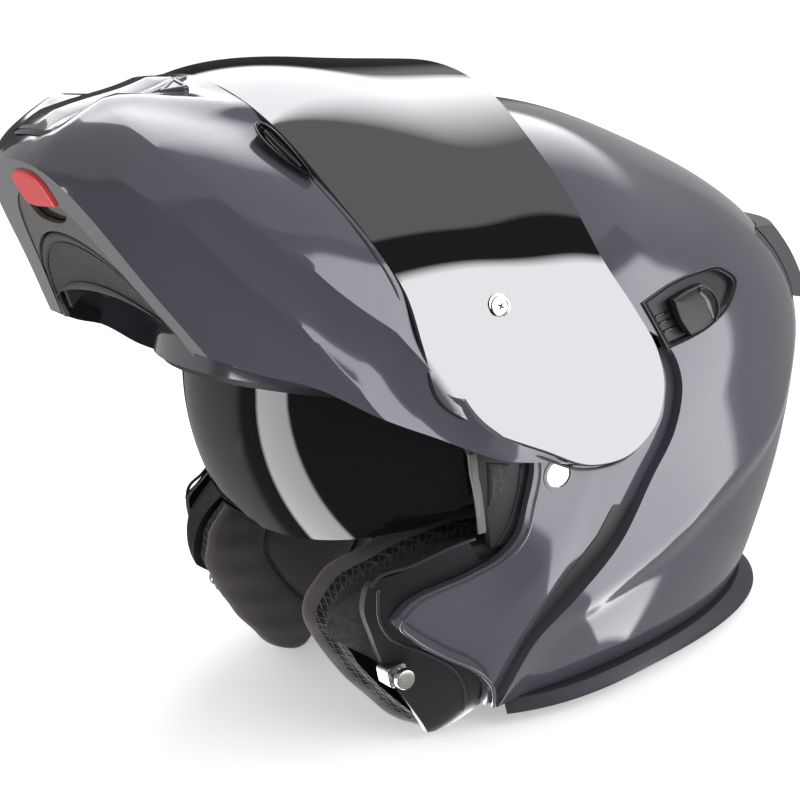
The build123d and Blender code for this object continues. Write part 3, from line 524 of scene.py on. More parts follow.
def webbingFinish(name="strapWebbing", colour=(0.012, 0.012, 0.013)):
    # Woven band: herringbone ribs along the band with a fine cross thread.
    f = Finish(name)
    split = f.tree.nodes.new("ShaderNodeSeparateXYZ")
    f.tree.links.new(f.place().socket, split.inputs[0])
    x, y, z = (Link(f.tree, out) for out in split.outputs)
    rib = ((y + (z * 900.0).maths("SINE") * 0.0004) * 2600.0).maths("SINE") * 0.5 + 0.5
    # The tone follows the ribs: their tops are a painted highlight and the hollows between them painted shade.
    tone = f.blendColour(rib, [c * 0.5 for c in colour], [c * 1.6 for c in colour])
    return f.finish(f.shader(Base_Color=tone, Roughness=0.8, Sheen_Weight=0.2,
                             Normal=f.bump(rib, 0.7, 0.0006)))


def foamFinish():
    # Bead foam: packed cells, lighter at each bead's middle and darker towards the joins between
    # beads, painted shade where the beads meet.
    f = Finish("beadFoam")
    beads = f.add("ShaderNodeTexVoronoi", {"feature": "F1"}, Vector=f.place(), Scale=320.0)
    tone = f.blendColour(beads, (0.03, 0.03, 0.032), (0.012, 0.012, 0.013))
    return f.finish(f.shader(Base_Color=tone, Roughness=0.8, Normal=f.bump(1 - beads, 0.4, 0.0006)))


finishes = {
    "paint": paintFinish(),
    "black": mouldedFinish("blackMoulding", (0.013, 0.013, 0.015), 0.42),
    "gloss": mouldedFinish("blackGloss", (0.006, 0.006, 0.007), 0.12, depth=0.02, coat=0.6),
    "soft": mouldedFinish("softRubber", (0.010, 0.010, 0.012), 0.55, grain=600.0, depth=0.2),
    "grained": mouldedFinish("grainedPlastic", (0.020, 0.021, 0.024), 0.50, grain=420.0, depth=0.9),
    "red": mouldedFinish("redTab", (0.62, 0.030, 0.032), 0.35, depth=0.05, coat=0.3),
    "pad": clothFinish("padCloth", (0.060, 0.052, 0.054), 2600.0),
    "lining": clothFinish("liningCloth", (0.022, 0.021, 0.023), 2600.0, sheen=0.2),
    "mesh": airMeshFinish("airMesh", 0.0034, (0.5, 0.5, 0.7), (0.5, 0.5, -0.7)),
    "knit": airMeshFinish("curtainKnit", 0.0027, (1.0, 0.0, 0.0), (0.0, -0.326, 0.946), (0.080, 0.077, 0.074),
                          (0.003, 0.003, 0.003)),
    "trim": mouldedFinish("trimRubber", (0.026, 0.027, 0.034), 0.60, grain=500.0, depth=0.25),
    "gasket": mouldedFinish("gasketRubber", (0.030, 0.030, 0.031), 0.60, grain=600.0, depth=0.2),
    "frame": mouldedFinish("frameMoulding", (0.024, 0.024, 0.031), 0.36, depth=0.12),
    "strip": mouldedFinish("paleStrip", (0.12, 0.12, 0.11), 0.40, depth=0.08),
    "taupe": mouldedFinish("taupePlate", (0.085, 0.080, 0.075), 0.42, depth=0.12),
    "webbing": webbingFinish(),
    "visor": visorFinish(),
    "smoked": smokedFinish(),
    "steel": metalFinish("turnedSteel", (0.62, 0.61, 0.59), 0.22),
    "chrome": metalFinish("polishedStud", (0.86, 0.86, 0.86), 0.08),
    "beads": foamFinish(),
}
print("finishes ready")


def wear(piece, finish, body, nodes=()):
    # Gives a new piece its finish, the body it rides on, and the nodes it stands for.
    piece.data.materials.clear()
    piece.data.materials.append(finishes[finish])
    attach(piece, body)
    if nodes:
        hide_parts(*nodes)
    return piece


def repaint(node, finish):
    # A carried-over node keeps its mesh and takes a better material.
    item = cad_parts[node]
    for place in item.material_slots:
        place.link = "OBJECT"
        place.material = finishes[finish]


# Camera at the photograph's angle, from the fitted view of the hinge frame

view = {"turn": 57.657, "height": 11.125, "roll": 0.895, "pitch": 11.993, "pixels": 1634.5,
        "distance": 0.7701, "aside": 0.02212, "above": 0.01766}


def placeCamera():
    # The camera's right, up and back directions are the turn and height round the object, then the
    # roll, then the object's own pitch; its place is the fitted offset along them.
    a, e = radians(view["turn"]), radians(view["height"])
    back = np.array([sin(a) * cos(e), -cos(a) * cos(e), sin(e)])
    right = np.array([cos(a), sin(a), 0.0])
    axes = np.array([right, np.cross(back, right), back])
    r, p = radians(view["roll"]), radians(view["pitch"])
    roll = np.array([[cos(r), -sin(r), 0], [sin(r), cos(r), 0], [0, 0, 1]])
    pitch = np.array([[1, 0, 0], [0, cos(p), -sin(p)], [0, sin(p), cos(p)]])
    axes = roll @ axes @ pitch
    place = np.array([-view["aside"], -view["above"], view["distance"]]) @ axes + np.array(hinge["place"])
    data = bpy.data.cameras.new("camera")
    data.sensor_width = 36.0
    data.lens = view["pixels"] / 800 * 36
    camera = bpy.data.objects.new("camera", data)
    matrix = np.eye(4)
    matrix[:3, :3] = axes.T
    matrix[:3, 3] = place
    camera.matrix_world = Matrix(matrix.tolist())
    bpy.context.scene.collection.objects.link(camera)
    bpy.context.scene.camera = camera


placeCamera()

# Studio: soft panels and dark flags by compass and height, in degrees, as the lacquer and the
# mirrored visor show them. Each is (from, to, low, high, soft sides, soft ends, strength).
studio = {
    "surround": 0.42,
    "panels": [
        (64, 112, -70, 18, 4, 4, 0.30),     # dim wall behind the side panel
        (-3, 61, -80, 15, 3, 3, 3.3),       # broad panel beside the wearer's left, down to the table
        (50, 130, -100, -41, 5, 5, 0.35),   # the table behind the panel's foot
        (104, 240, 24, 130, 36, 5, 3.5),    # overhead panel behind
        (-128, -109, -60, 9, 2, 2, 5.5),    # upright strip in front
        (-179, -141, -70, 2, 4, 4, 0.40),   # wall on the wearer's right
    ],
    "flags": [
        (-12, 64, 15, 27, 1.5, 1.5, 0.05),
        (-140, -8, -40, 22, 6, 6, 0.10),
        (140, 200, -20, 22, 5, 5, 0.05),
    ],
    # name, place, size, power
    "lamps": [("sideLamp", (1.5, 0.6, 0.7), 1.2, 26.0), ("topLamp", (-0.4, 0.7, 1.5), 1.0, 16.0)],
    "floor": 0.86, "floorSize": 6.0, "floorGlow": 0.36, "middle": (0.10, 0, 0.11),
}


def pattern(compass, height):
    # The surround, with each flag and panel laid over it in turn: a + (b - a) * inside.
    light = studio["surround"]
    for low, high, under, over, soft, softEnds, strength in studio["flags"] + studio["panels"]:
        inside = compass.between(low, high, soft) * height.between(under, over, softEnds)
        light = light + (strength - light) * inside
    return light


def angles(f, vector):
    split = f.tree.nodes.new("ShaderNodeSeparateXYZ")
    f.tree.links.new(vector.socket, split.inputs[0])
    x, y, z = (Link(f.tree, out) for out in split.outputs)
    compass = y.maths("ARCTAN2", x) * (180 / pi)
    height = z.maths("ARCTAN2", (x * x + y * y) ** 0.5) * (180 / pi)
    return compass, height


def lightStudio():
    # World: the pattern for reflections and light, plain white where the camera or glass looks through.
    f = Finish("studio", world=True)
    direction = f.add("ShaderNodeTexCoord", out=0)
    compass, height = angles(f, direction)
    rays = f.tree.nodes.new("ShaderNodeLightPath")
    kinds = ("Is Camera Ray", "Is Transmission Ray", "Is Glossy Ray")
    camera, through, glossy = (Link(f.tree, rays.outputs[kind]) for kind in kinds)
    plain = camera.most(through)
    seen = glossy * pattern(compass, height) + (1 - glossy) * 0.80
    strength = plain + (1 - plain) * seen
    bpy.context.scene.world = f.finish(f.add("ShaderNodeBackground", Color=(1, 1, 1, 1), Strength=strength))
    for name, place, size, power in studio["lamps"]:
        lamp = bpy.data.lights.new(name, "AREA")
        lamp.size = size
        lamp.energy = power
        item = bpy.data.objects.new(name, lamp)
        item.visible_glossy = False
        away = np.array(place) - np.array([0, 0, 0.15])
        away /= np.linalg.norm(away)
        side = np.cross([0, 0, 1], away)
        side /= np.linalg.norm(side)
        matrix = np.eye(4)
        matrix[:3, :3] = np.array([side, np.cross(away, side), away]).T
        matrix[:3, 3] = place
        item.matrix_world = Matrix(matrix.tolist())
        bpy.context.scene.collection.objects.link(item)


def layFloor():
    # A pale sheet on the ground. In reflections it shows the same panels as the world does.
    size = studio["floorSize"]
    corners = np.array([[-size, -size, 0], [size, -size, 0], [size, size, 0], [-size, size, 0]])
    floor = newPiece("floor", corners, [[0, 1, 2, 3]])
    f = Finish("paleFloor")
    away = f.add("ShaderNodeVectorMath", {"operation": "SUBTRACT"}, i0=f.place(), i1=studio["middle"])
    compass, height = angles(f, away)
    rays = f.tree.nodes.new("ShaderNodeLightPath")
    glossy = Link(f.tree, rays.outputs["Is Glossy Ray"])
    paper = f.add("ShaderNodeTexNoise", Vector=f.place(), Scale=3.0, Detail=2.0)
    tone = f.blendColour(paper, (studio["floor"] * 0.99,) * 3, (studio["floor"],) * 3)
    matt = f.shader(Base_Color=tone, Roughness=0.9, Emission_Color=(1, 1, 1, 1),
                    Emission_Strength=studio["floorGlow"])
    card = f.add("ShaderNodeEmission", Color=(1, 1, 1, 1), Strength=pattern(compass, height))
    floor.data.materials.append(f.finish(f.add("ShaderNodeMixShader", i0=glossy, i1=matt, i2=card)))


lightStudio()
layFloor()
print("camera, studio and floor placed")

# Side-view outlines, as shares, with the numbers of their corners
outlines = {
    "recess": ([(-2.60, -1.60), (-0.665, -1.60), (-0.665, -1.18), (-0.54, -0.90), (-0.36, -0.755),
                (-0.10, -0.565), (0.10, -0.35), (0.25, -0.20), (0.325, 0.0), (0.29, 0.16), (0.14, 0.29),
                (-0.20, 0.31), (-0.55, 0.32), (-0.85, 0.38), (-1.08, 0.45), (-1.22, 0.53), (-2.60, 0.90)],
               (0, 1, 16)),
    "step": ([(-2.60, -1.60), (-0.62, -1.60), (-0.62, -1.19), (-0.50, -0.93), (-0.33, -0.79),
              (-0.07, -0.605), (0.13, -0.385), (0.29, -0.22), (0.37, 0.0), (0.33, 0.19), (0.16, 0.335),
              (-0.20, 0.355), (-0.55, 0.365), (-0.85, 0.425), (-1.08, 0.495), (-1.22, 0.575), (-2.60, 0.95)],
             (0, 1, 16)),
    "port": ([(-2.60, 0.40), (-1.31, 0.40), (-1.00, 0.33), (-0.70, 0.27), (-0.52, 0.19), (-0.44, 0.06),
              (-0.43, -0.13), (-0.48, -0.28), (-0.53, -0.40), (-0.63, -0.48), (-0.75, -0.515),
              (-1.00, -0.595), (-1.04, -0.66), (-1.00, -0.73), (-0.88, -0.86), (-0.79, -0.94),
              (-0.73, -1.03), (-0.70, -1.14), (-0.68, -1.60), (-2.60, -1.60)], (0, 18, 19)),
    "frameOuter": ([(-2.60, 0.47), (-1.31, 0.47), (-0.98, 0.40), (-0.66, 0.33), (-0.48, 0.24), (-0.415, 0.08),
                    (-0.41, -0.15), (-0.44, -0.33), (-0.50, -0.44), (-2.60, -0.44)], (0, 8, 9)),
    "frameInner": ([(-2.60, 0.36), (-1.28, 0.36), (-1.00, 0.29), (-0.80, 0.23), (-0.68, 0.14), (-0.65, 0.0),
                    (-0.65, -0.80), (-2.60, -0.80)], (0, 6, 7)),
    "plate": ([(-0.60, -0.48), (-0.68, -0.48), (-0.72, -0.37), (-0.99, -0.445), (-1.09, -0.47),
               (-1.12, -0.56), (-1.09, -0.75), (-0.97, -1.13), (-0.90, -1.30), (-0.66, -1.30),
               (-0.62, -1.10), (-0.80, -0.84), (-0.86, -0.70), (-0.60, -0.62)], (0, 1, 2, 8, 9, 13)),
    "visor": ([(-1.90, -0.455), (-1.64, -0.495), (-1.38, -0.53), (-1.14, -0.54), (-0.95, -0.555),
               (-0.74, -0.62), (-0.53, -0.675), (-0.36, -0.60), (-0.10, -0.42), (0.10, -0.26), (0.18, -0.08),
               (0.15, 0.09), (0.04, 0.20), (-0.10, 0.24), (-0.30, 0.24), (-0.55, 0.24), (-0.85, 0.31),
               (-1.06, 0.37), (-1.19, 0.44), (-1.36, 0.53)], ()),
    "chin": ([(-2.60, -1.24), (-1.10, -1.24), (-0.96, -1.14), (-0.84, -1.03), (-0.59, -0.885),
              (-0.40, -0.75), (-0.16, -0.575), (0.02, -0.36), (0.18, -0.18), (0.24, 0.0), (0.17, 0.17),
              (0.0, 0.235), (-0.17, 0.16), (-0.26, -0.06), (-0.40, -0.44), (-0.54, -0.64), (-0.74, -0.628),
              (-0.95, -0.563), (-1.14, -0.548), (-1.38, -0.538), (-1.64, -0.503), (-1.86, -0.466),
              (-2.60, -0.463)], (0, 1, 22)),
    "sun": ([(-2.60, -0.385), (-1.12, -0.385), (-0.94, -0.35), (-0.68, -0.27), (-0.61, -0.18), (-0.61, 0.20),
             (-0.74, 0.29), (-2.60, 0.42)], (0, 7)),
    "housing": ([(0.20, 0.37), (0.235, 0.26), (0.27, 0.15), (0.55, 0.165), (0.73, 0.225), (0.80, 0.29),
                 (0.74, 0.355), (0.56, 0.392), (0.38, 0.395)], (0, 2)),
    "knob": ([(0.36, 0.335), (0.365, 0.25), (0.40, 0.175), (0.53, 0.185), (0.60, 0.22), (0.615, 0.28),
              (0.58, 0.335), (0.50, 0.345)], (0, 2)),
    "lining": ([(-2.60, 0.27), (-0.84, 0.27), (-0.58, 0.10), (-0.50, -0.20), (0.30, -0.38), (1.60, -0.62),
                (1.60, -1.60), (-2.60, -1.60)], (0, 5, 6, 7)),
    "chinLining": ([(-2.60, -1.205), (-1.12, -1.205), (-1.12, -0.62), (-2.60, -0.50)], (0, 1, 2, 3)),
}


def outline(name, steps=10):
    shares, corners = outlines[name]
    return softCurve(shares, steps, corners)


def alongCurve(y, z, curve):
    # Distance from each side-view point to a bent line, positive on its left, and how far along
    # the line its foot lies.
    points = np.stack([np.ravel(y), np.ravel(z)], -1)
    best = np.full(len(points), 9.0)
    where = np.zeros(len(points))
    side = np.ones(len(points))
    total = len(curve) - 1
    for k in range(total):
        a, step = curve[k], curve[k + 1] - curve[k]
        t = np.clip(((points - a) @ step) / (step @ step), 0, 1)
        gap = np.linalg.norm(points - a - t[:, None] * step, axis=1)
        nearer = gap < best
        best[nearer] = gap[nearer]
        where[nearer] = (k + t[nearer]) / total
        offset = points - a
        side[nearer] = np.sign(step[0] * offset[:, 1] - step[1] * offset[:, 0])[nearer]
    return (best * side).reshape(np.shape(y)), where.reshape(np.shape(y))


shellShape = {
    "recess": 0.005, "wall": 0.0035, "rim": -0.120,
    "fold": [(-0.56, -0.93), (-0.40, -0.80), (-0.23, -0.75), (-0.05, -0.70), (0.13, -0.66), (0.36, -0.58),
             (0.69, -0.49), (0.96, -0.38), (1.14, -0.20), (1.30, 0.04)],
    "foldHeight": 0.0036, "foldAbove": 0.036, "foldBelow": 0.015,
    "stud": (-0.325, -0.20), "studRadius": 0.0071,
}


def shellFold(share, angle):
    # A fold over the flank: above its line the skin swells as (1 - distance / width)^2, and below
    # it drops away within a few millimetres. The fold fades in and out along the line.
    points = domePoint("shell", share, angle)
    curve = softCurve(shellShape["fold"], 8, closed=False)
    gap, where = alongCurve(points[..., 1], points[..., 2], curve)
    above = np.clip(1 - gap / shellShape["foldAbove"], 0, 1) ** 2
    below = np.clip(1 + gap / shellShape["foldBelow"], 0, 1)
    below = below * below * (3 - 2 * below)
    fade = np.clip(np.minimum(where / 0.22, (1 - where) / 0.3), 0, 1)
    return shellShape["foldHeight"] * np.where(gap > 0, above, below) * fade * fade * (3 - 2 * fade)


def disc(y, z, radius, count=48):
    turn = np.linspace(0, 2 * pi, count + 1)[:-1]
    return np.column_stack([y + radius * np.cos(turn), z + radius * np.sin(turn)])


def makeShell():
    # The lacquered shell: a dome with a stepped recess for the arms in each side, hollowed to an
    # even wall, and opened for the face.
    deep, wall = shellShape["recess"], shellShape["wall"]
    hollow = carve(closedDome("shell", -wall, label="hollow"),
                   [("DIFFERENCE", prism(outline("step"))), ("UNION", closedDome("shell", -deep - wall))])
    low = block((-0.3, -0.3, -0.3), (0.3, 0.3, shellShape["rim"]))
    housing = prism(outline("housing"), 0.0, 0.3)
    stud = np.array(shellShape["stud"]) * hinge["unit"]
    studs = prism(disc(*stud, shellShape["studRadius"]))
    shell = carve(closedDome("shell", ridge=shellFold, rows=200, label="paintedShell"),
                  [("DIFFERENCE", prism(outline("recess"))), ("UNION", closedDome("shell", -deep)),
                   ("DIFFERENCE", hollow), ("DIFFERENCE", prism(outline("port"))), ("DIFFERENCE", low),
                   ("DIFFERENCE", housing), ("DIFFERENCE", studs)])
    wear(crisp(shell), "paint", "root", ["outer_shell"])


makeShell()
print("shell made")

chinShape = {
    "wall": 0.003, "lip": 0.0105, "drop": -0.124, "lipHeight": 0.0025, "back": -0.108,
    "mainShares": (0.0, 0.19, 0.466, 0.67, 0.806, 0.885, 0.948, 0.987, 1.0),
    "mainAngles": (-24.5, -24.5, -27.0, -29.3, -32.6, -37.6, -51.8, -73.0, -80.0),
    "secondShares": (0.0, 0.45, 0.64, 0.774, 0.861, 0.924, 0.987, 1.0),
    "secondAngles": (-29.0, -31.0, -33.8, -40.9, -50.4, -62.8, -90.0, -100.0),
    "upperShares": (0.0, 0.179, 0.252, 0.306, 0.365, 0.43, 0.5),
    "upperAngles": (-24.5, -24.5, -22.8, -20.7, -19.1, -17.6, -15.8),
    "mainHeight": 0.0050, "secondHeight": 0.0022, "upperHeight": 0.0026,
}


def mainCrease(share):
    return np.interp(share, chinShape["mainShares"], chinShape["mainAngles"])


def secondCrease(share):
    return np.interp(share, chinShape["secondShares"], chinShape["secondAngles"])


def upperCrease(share):
    return np.interp(share, chinShape["upperShares"], chinShape["upperAngles"])


def chinCreases(share, angle):
    # Folds run back along the chin bar: each rises as (1 - turn / width)^2 towards its line.
    share = share + 0 * angle
    near = (angle + 180) % 360 - 180
    fade = np.clip((share - 0.10) / 0.12, 0, 1) * np.clip((1.0 - share) / 0.03, 0, 1)
    gap = np.abs(near - mainCrease(share))
    height = chinShape["mainHeight"] * np.clip(1 - gap / 13.0, 0, 1) ** 1.7 * fade
    start = np.clip((share - 0.42) / 0.08, 0, 1)
    gap = np.abs(near - secondCrease(share))
    second = np.clip(1 - gap / (3.0 + 6 * share), 0, 1) ** 2
    height = height + chinShape["secondHeight"] * second * start * fade
    gap = np.abs(near - upperCrease(share))
    inner = np.clip((share - 0.17) / 0.05, 0, 1) * np.clip((0.52 - share) / 0.08, 0, 1)
    return height + chinShape["upperHeight"] * np.clip(1 - gap / 5.0, 0, 1) ** 1.6 * inner


def makeChin():
    # The lacquered chin bar with its arms: a creased dome, hollowed, with a lip turned in below.
    wall, lip, drop = chinShape["wall"], chinShape["lip"], chinShape["drop"]
    guides = [(secondCrease, 18), (mainCrease, 300)]
    above = block((-0.3, -0.3, drop + chinShape["lipHeight"]), (0.3, 0.3, 0.3), True)
    behind = block((-0.3, chinShape["back"], -0.3), (0.3, 0.3, 0.3), True)
    core = carve(closedDome("chin", -wall, raised=True), [("INTERSECT", above)])
    rear = carve(closedDome("chin", -wall, raised=True), [("INTERSECT", behind)])
    chin = carve(closedDome("chin", guides=guides, ridge=chinCreases, raised=True, label="chinBar"),
                 [("INTERSECT", prism(outline("chin"), raised=True)), ("DIFFERENCE", core),
                  ("DIFFERENCE", rear), ("DIFFERENCE", closedDome("chin", -lip, raised=True))])
    wear(crisp(chin), "paint", "chin_bar", ["chin_shell"])


makeChin()
print("chin bar made")


visorShape = {"thick": 0.0022, "sunThick": 0.0024}


def makeVisors():
    # Each visor is the layer between two offsets of its dome, inside its side-view outline.
    shares, _ = outlines["visor"]
    edge = softCurve(shares, 10, closed=False)
    edge = np.vstack([edge, [[-0.3, edge[-1, 1]], [-0.3, edge[0, 1]]]])
    inside = closedDome("visor", -visorShape["thick"], raised=True)
    visor = carve(closedDome("visor", raised=True, label="mirrorVisor"),
                  [("INTERSECT", prism(edge, raised=True)), ("DIFFERENCE", inside)])
    wear(crisp(visor), "visor", "visor", ["face_shield"])
    inside = closedDome("sun", -visorShape["sunThick"])
    sun = carve(closedDome("sun", label="sunVisorSheet"),
                [("INTERSECT", prism(outline("sun"))), ("DIFFERENCE", inside)])
    wear(crisp(sun), "smoked", "sun_visor", ["sun_visor"])


makeVisors()
print("visors made")


frameShape = {"out": -0.0091, "back": -0.0121}


def makeFrames():
    # The black frame round the eyes and the plates in front of the cheeks, set back under the shell.
    out, back = frameShape["out"], frameShape["back"]
    outer, inner = prism(outline("frameOuter")), prism(outline("frameInner"))
    ring = carve(closedDome("shell", out, label="eyeFrame"),
                 [("INTERSECT", outer), ("DIFFERENCE", inner), ("DIFFERENCE", closedDome("shell", back))])
    wear(crisp(ring), "black", "root", ["eye_port_frame"])
    for side, name in sides:
        low, high = (0.0, 0.3) if side > 0 else (-0.3, 0.0)
        cutter = prism(outline("plate"), low, high)
        plate = carve(closedDome("shell", out, label="cheekPlate_" + name),
                      [("INTERSECT", cutter), ("DIFFERENCE", closedDome("shell", back))])
        wear(crisp(plate), "black", "root", ["cheek_plate_" + name])


makeFrames()
print("frames made")


def lift(name, share, angle, grow):
    # Points over a dome, from the share across, the angle and the height above the skin.
    share, angle, grow = np.broadcast_arrays(*(np.asarray(values, float) for values in (share, angle, grow)))
    base = domePoint(name, share, angle)
    step = domePoint(name, share, angle, 0.001) - base
    return base + step / np.linalg.norm(step, axis=-1, keepdims=True) * grow[..., None]


def skin(name, share, angle, grow, raised, label):
    # A sheet on a dome from a grid of shares, angles and heights.
    points = lift(name, share, angle, grow)
    rows, columns = points.shape[:2]
    return newPiece(label, intoFrame(points, raised), gridFaces(rows, columns))


def facingOut(piece, centre=(0, 0, 0.15)):
    # Turns an open sheet so that its faces look away from a point: the sum of face normal times the
    # way outwards is made positive.
    mesh = piece.data
    count = len(mesh.polygons)
    normals, middles = np.empty(count * 3), np.empty(count * 3)
    mesh.polygons.foreach_get("normal", normals)
    mesh.polygons.foreach_get("center", middles)
    away = middles.reshape(-1, 3) - np.array(centre)
    if (normals.reshape(-1, 3) * away).sum() < 0:
        mesh.flip_normals()
    return piece


ventShape = {
    "coverHalf": 0.0170, "coverLow": -29.0, "coverHigh": -15.6, "coverRise": 0.0046, "flat": 0.50,
    "baseHalf": 0.0225, "baseLow": -29.6, "baseHigh": -14.9, "baseRise": 0.0012,
    "skinRise": 0.0016, "railRadius": 0.0014, "railAside": 0.0012,
}


def makeVentCover():
    # The vent's cover is a long faceted bar: flat on top to a share of its width, then falling
    # straight to its edge, with its ends rounded off. It lies in a shallow black tray.
    v = ventShape
    half = domes["chin"]["halfWidth"]
    bands = (np.linspace(-1.0, -0.86, 4), np.linspace(-0.8, 0.8, 31), np.linspace(0.86, 1.0, 4))
    across = np.concatenate(bands)[:, None]
    along = np.linspace(0, 1, 61)[None, :]
    share = across * v["coverHalf"] / half * (1 - 0.25 * along ** 2)
    angle = v["coverLow"] + (v["coverHigh"] - v["coverLow"]) * along + 0 * across
    slope = np.clip((1 - np.abs(across)) / (1 - v["flat"]), 0, 1)
    ends = np.clip(np.minimum(along / 0.20, (1 - along) / 0.12), 0, 1) ** 0.7
    rise = v["skinRise"] + (v["coverRise"] - v["skinRise"]) * slope ** 0.75 * ends
    cover = skin("chin", share, angle, rise, True, "chinVentCover")
    wear(crisp(facingOut(cover), 24), "paint", "chin_vent_cover", ["chin_vent_cover"])
    share = across * v["baseHalf"] / half * (1 - 0.22 * along ** 2)
    angle = v["baseLow"] + (v["baseHigh"] - v["baseLow"]) * along + 0 * across
    brim = np.clip((1 - np.abs(across)) / 0.1, 0, 1) * np.clip(np.minimum(along, 1 - along) / 0.04, 0, 1)
    tray = skin("chin", share, angle, v["baseRise"] * brim + 0.0004, True, "chinVentTray")
    wear(facingOut(tray), "gloss", "chin_bar", ["chin_vent_base"])


def makeVentSide(side, name):
    # Beside the tray: a thin painted rail, and a small three-cornered intake with a painted rim.
    v = ventShape
    along = np.linspace(0, 1, 40)
    share = side * (v["baseHalf"] + v["railAside"]) / domes["chin"]["halfWidth"] * (1 - 0.22 * along ** 2)
    path = lift("chin", share, v["baseLow"] + (v["baseHigh"] - v["baseLow"]) * along, 0.0006)
    radius = v["railRadius"] * np.sin(pi * np.clip(along, 0.02, 0.98)) ** 0.3
    wear(tube("chinVentRail_" + name, path, radius, raised=True), "paint", "chin_bar")
    corners = np.array([(0.200, -18.9), (0.150, -16.3), (0.245, -17.0)])
    u, w = np.meshgrid(np.linspace(0, 1, 9), np.linspace(0, 1, 9), indexing="ij")
    place = corners[0] + u[..., None] * (corners[1] - corners[0])
    place = place + (u * w)[..., None] * (corners[2] - corners[1])
    # The intake's opening is a flat gloss black sheet a little above the skin: painted shade for the intake's
    # hollow.
    intakeShade = skin("chin", side * place[..., 0], place[..., 1], 0.0022, True, "intake_" + name)
    wear(facingOut(intakeShade), "gloss", "chin_bar")
    t = np.linspace(0, 1, 8)[:-1, None]
    ring = np.vstack([corners[k] + (corners[(k + 1) % 3] - corners[k]) * t for k in range(3)])
    path = lift("chin", side * ring[:, 0], ring[:, 1], 0.0018)
    rim = tube("intakeRim_" + name, path, 0.0011, True, raised=True)
    wear(rim, "paint", "chin_bar")


def makeChinVent():
    makeVentCover()
    for side, name in sides:
        makeVentSide(side, name)


makeChinVent()
print("chin vent made")

edgeShape = {"bead": 0.0009, "gasket": 0.0009, "grooveShade": 0.0006, "grooveAside": 0.0028, "least": 0.10}


def makeEdges():
    # Rounded edges: beads of lacquer along the face opening, rubber along the visor's edge, and a
    # thin black bead beside it on the arm, painted shade for the arm's thin groove.
    port = softCurve(outlines["port"][0], 12, outlines["port"][1])
    port = port[(port[:, 0] > -0.118) & (port[:, 1] > -0.1195) & (port[:, 1] < 0.012)]
    low = softCurve(outlines["visor"][0], 12, closed=False)
    lowEdge = low[:132]
    lowEdge = lowEdge[sideShare("visor", lowEdge[:, 0], lowEdge[:, 1]) > edgeShape["least"]]
    away = np.gradient(low, axis=0)
    away = np.column_stack([away[:, 1], -away[:, 0]]) / np.linalg.norm(away, axis=1, keepdims=True)
    beside = low[14:124] + away[14:124] * edgeShape["grooveAside"]
    beside = beside[sideShare("chin", beside[:, 0], beside[:, 1]) > edgeShape["least"]]
    for side, name in sides:
        turn = np.array([side, 1, 1])
        bead = tube("shellEdge_" + name, onSide("shell", port, -0.0008) * turn, edgeShape["bead"])
        wear(bead, "paint", "root")
        path = onSide("visor", lowEdge, -0.0012) * turn
        rubber = tube("visorGasket_" + name, path, edgeShape["gasket"], raised=True)
        wear(rubber, "soft", "visor")
        # The arm's groove is drawn as a black bead laid on the skin: painted shade, not a cut.
        path = onSide("chin", beside, 0.0002) * turn
        grooveShade = tube("armGrooveShade_" + name, path, edgeShape["grooveShade"], raised=True)
        wear(grooveShade, "black", "chin_bar")


makeEdges()
print("edges made")

padShape = {
    "turn": 22.0, "x": 0.084, "y": -0.070, "thick": 0.027, "centre": (-0.62, -0.80),
    "outline": [(-0.26, -1.06), (-0.24, -0.80), (-0.25, -0.54), (-0.34, -0.45), (-0.52, -0.42),
                (-0.74, -0.42), (-0.96, -0.47), (-1.13, -0.53), (-1.23, -0.66), (-1.19, -0.86),
                (-1.08, -1.08), (-0.96, -1.24), (-0.84, -1.30), (-0.70, -1.24), (-0.54, -1.17),
                (-0.36, -1.14)],
    # depth share, size: the side bows out, rolls over, runs in to the seam, dips, and crowns again
    "section": [(0.00, 0.900), (0.08, 0.930), (0.20, 0.945), (0.31, 0.950), (0.40, 1.030), (0.54, 1.085),
                (0.72, 1.085), (0.86, 1.010), (0.95, 0.880), (1.00, 0.760), (0.99, 0.690), (0.95, 0.650),
                (0.90, 0.628), (0.95, 0.612), (1.01, 0.580), (1.05, 0.520), (1.08, 0.420), (1.10, 0.280),
                (1.105, 0.140), (1.106, 0.0)],
    "meshRows": 0.36, "piping": 0.0007,
}


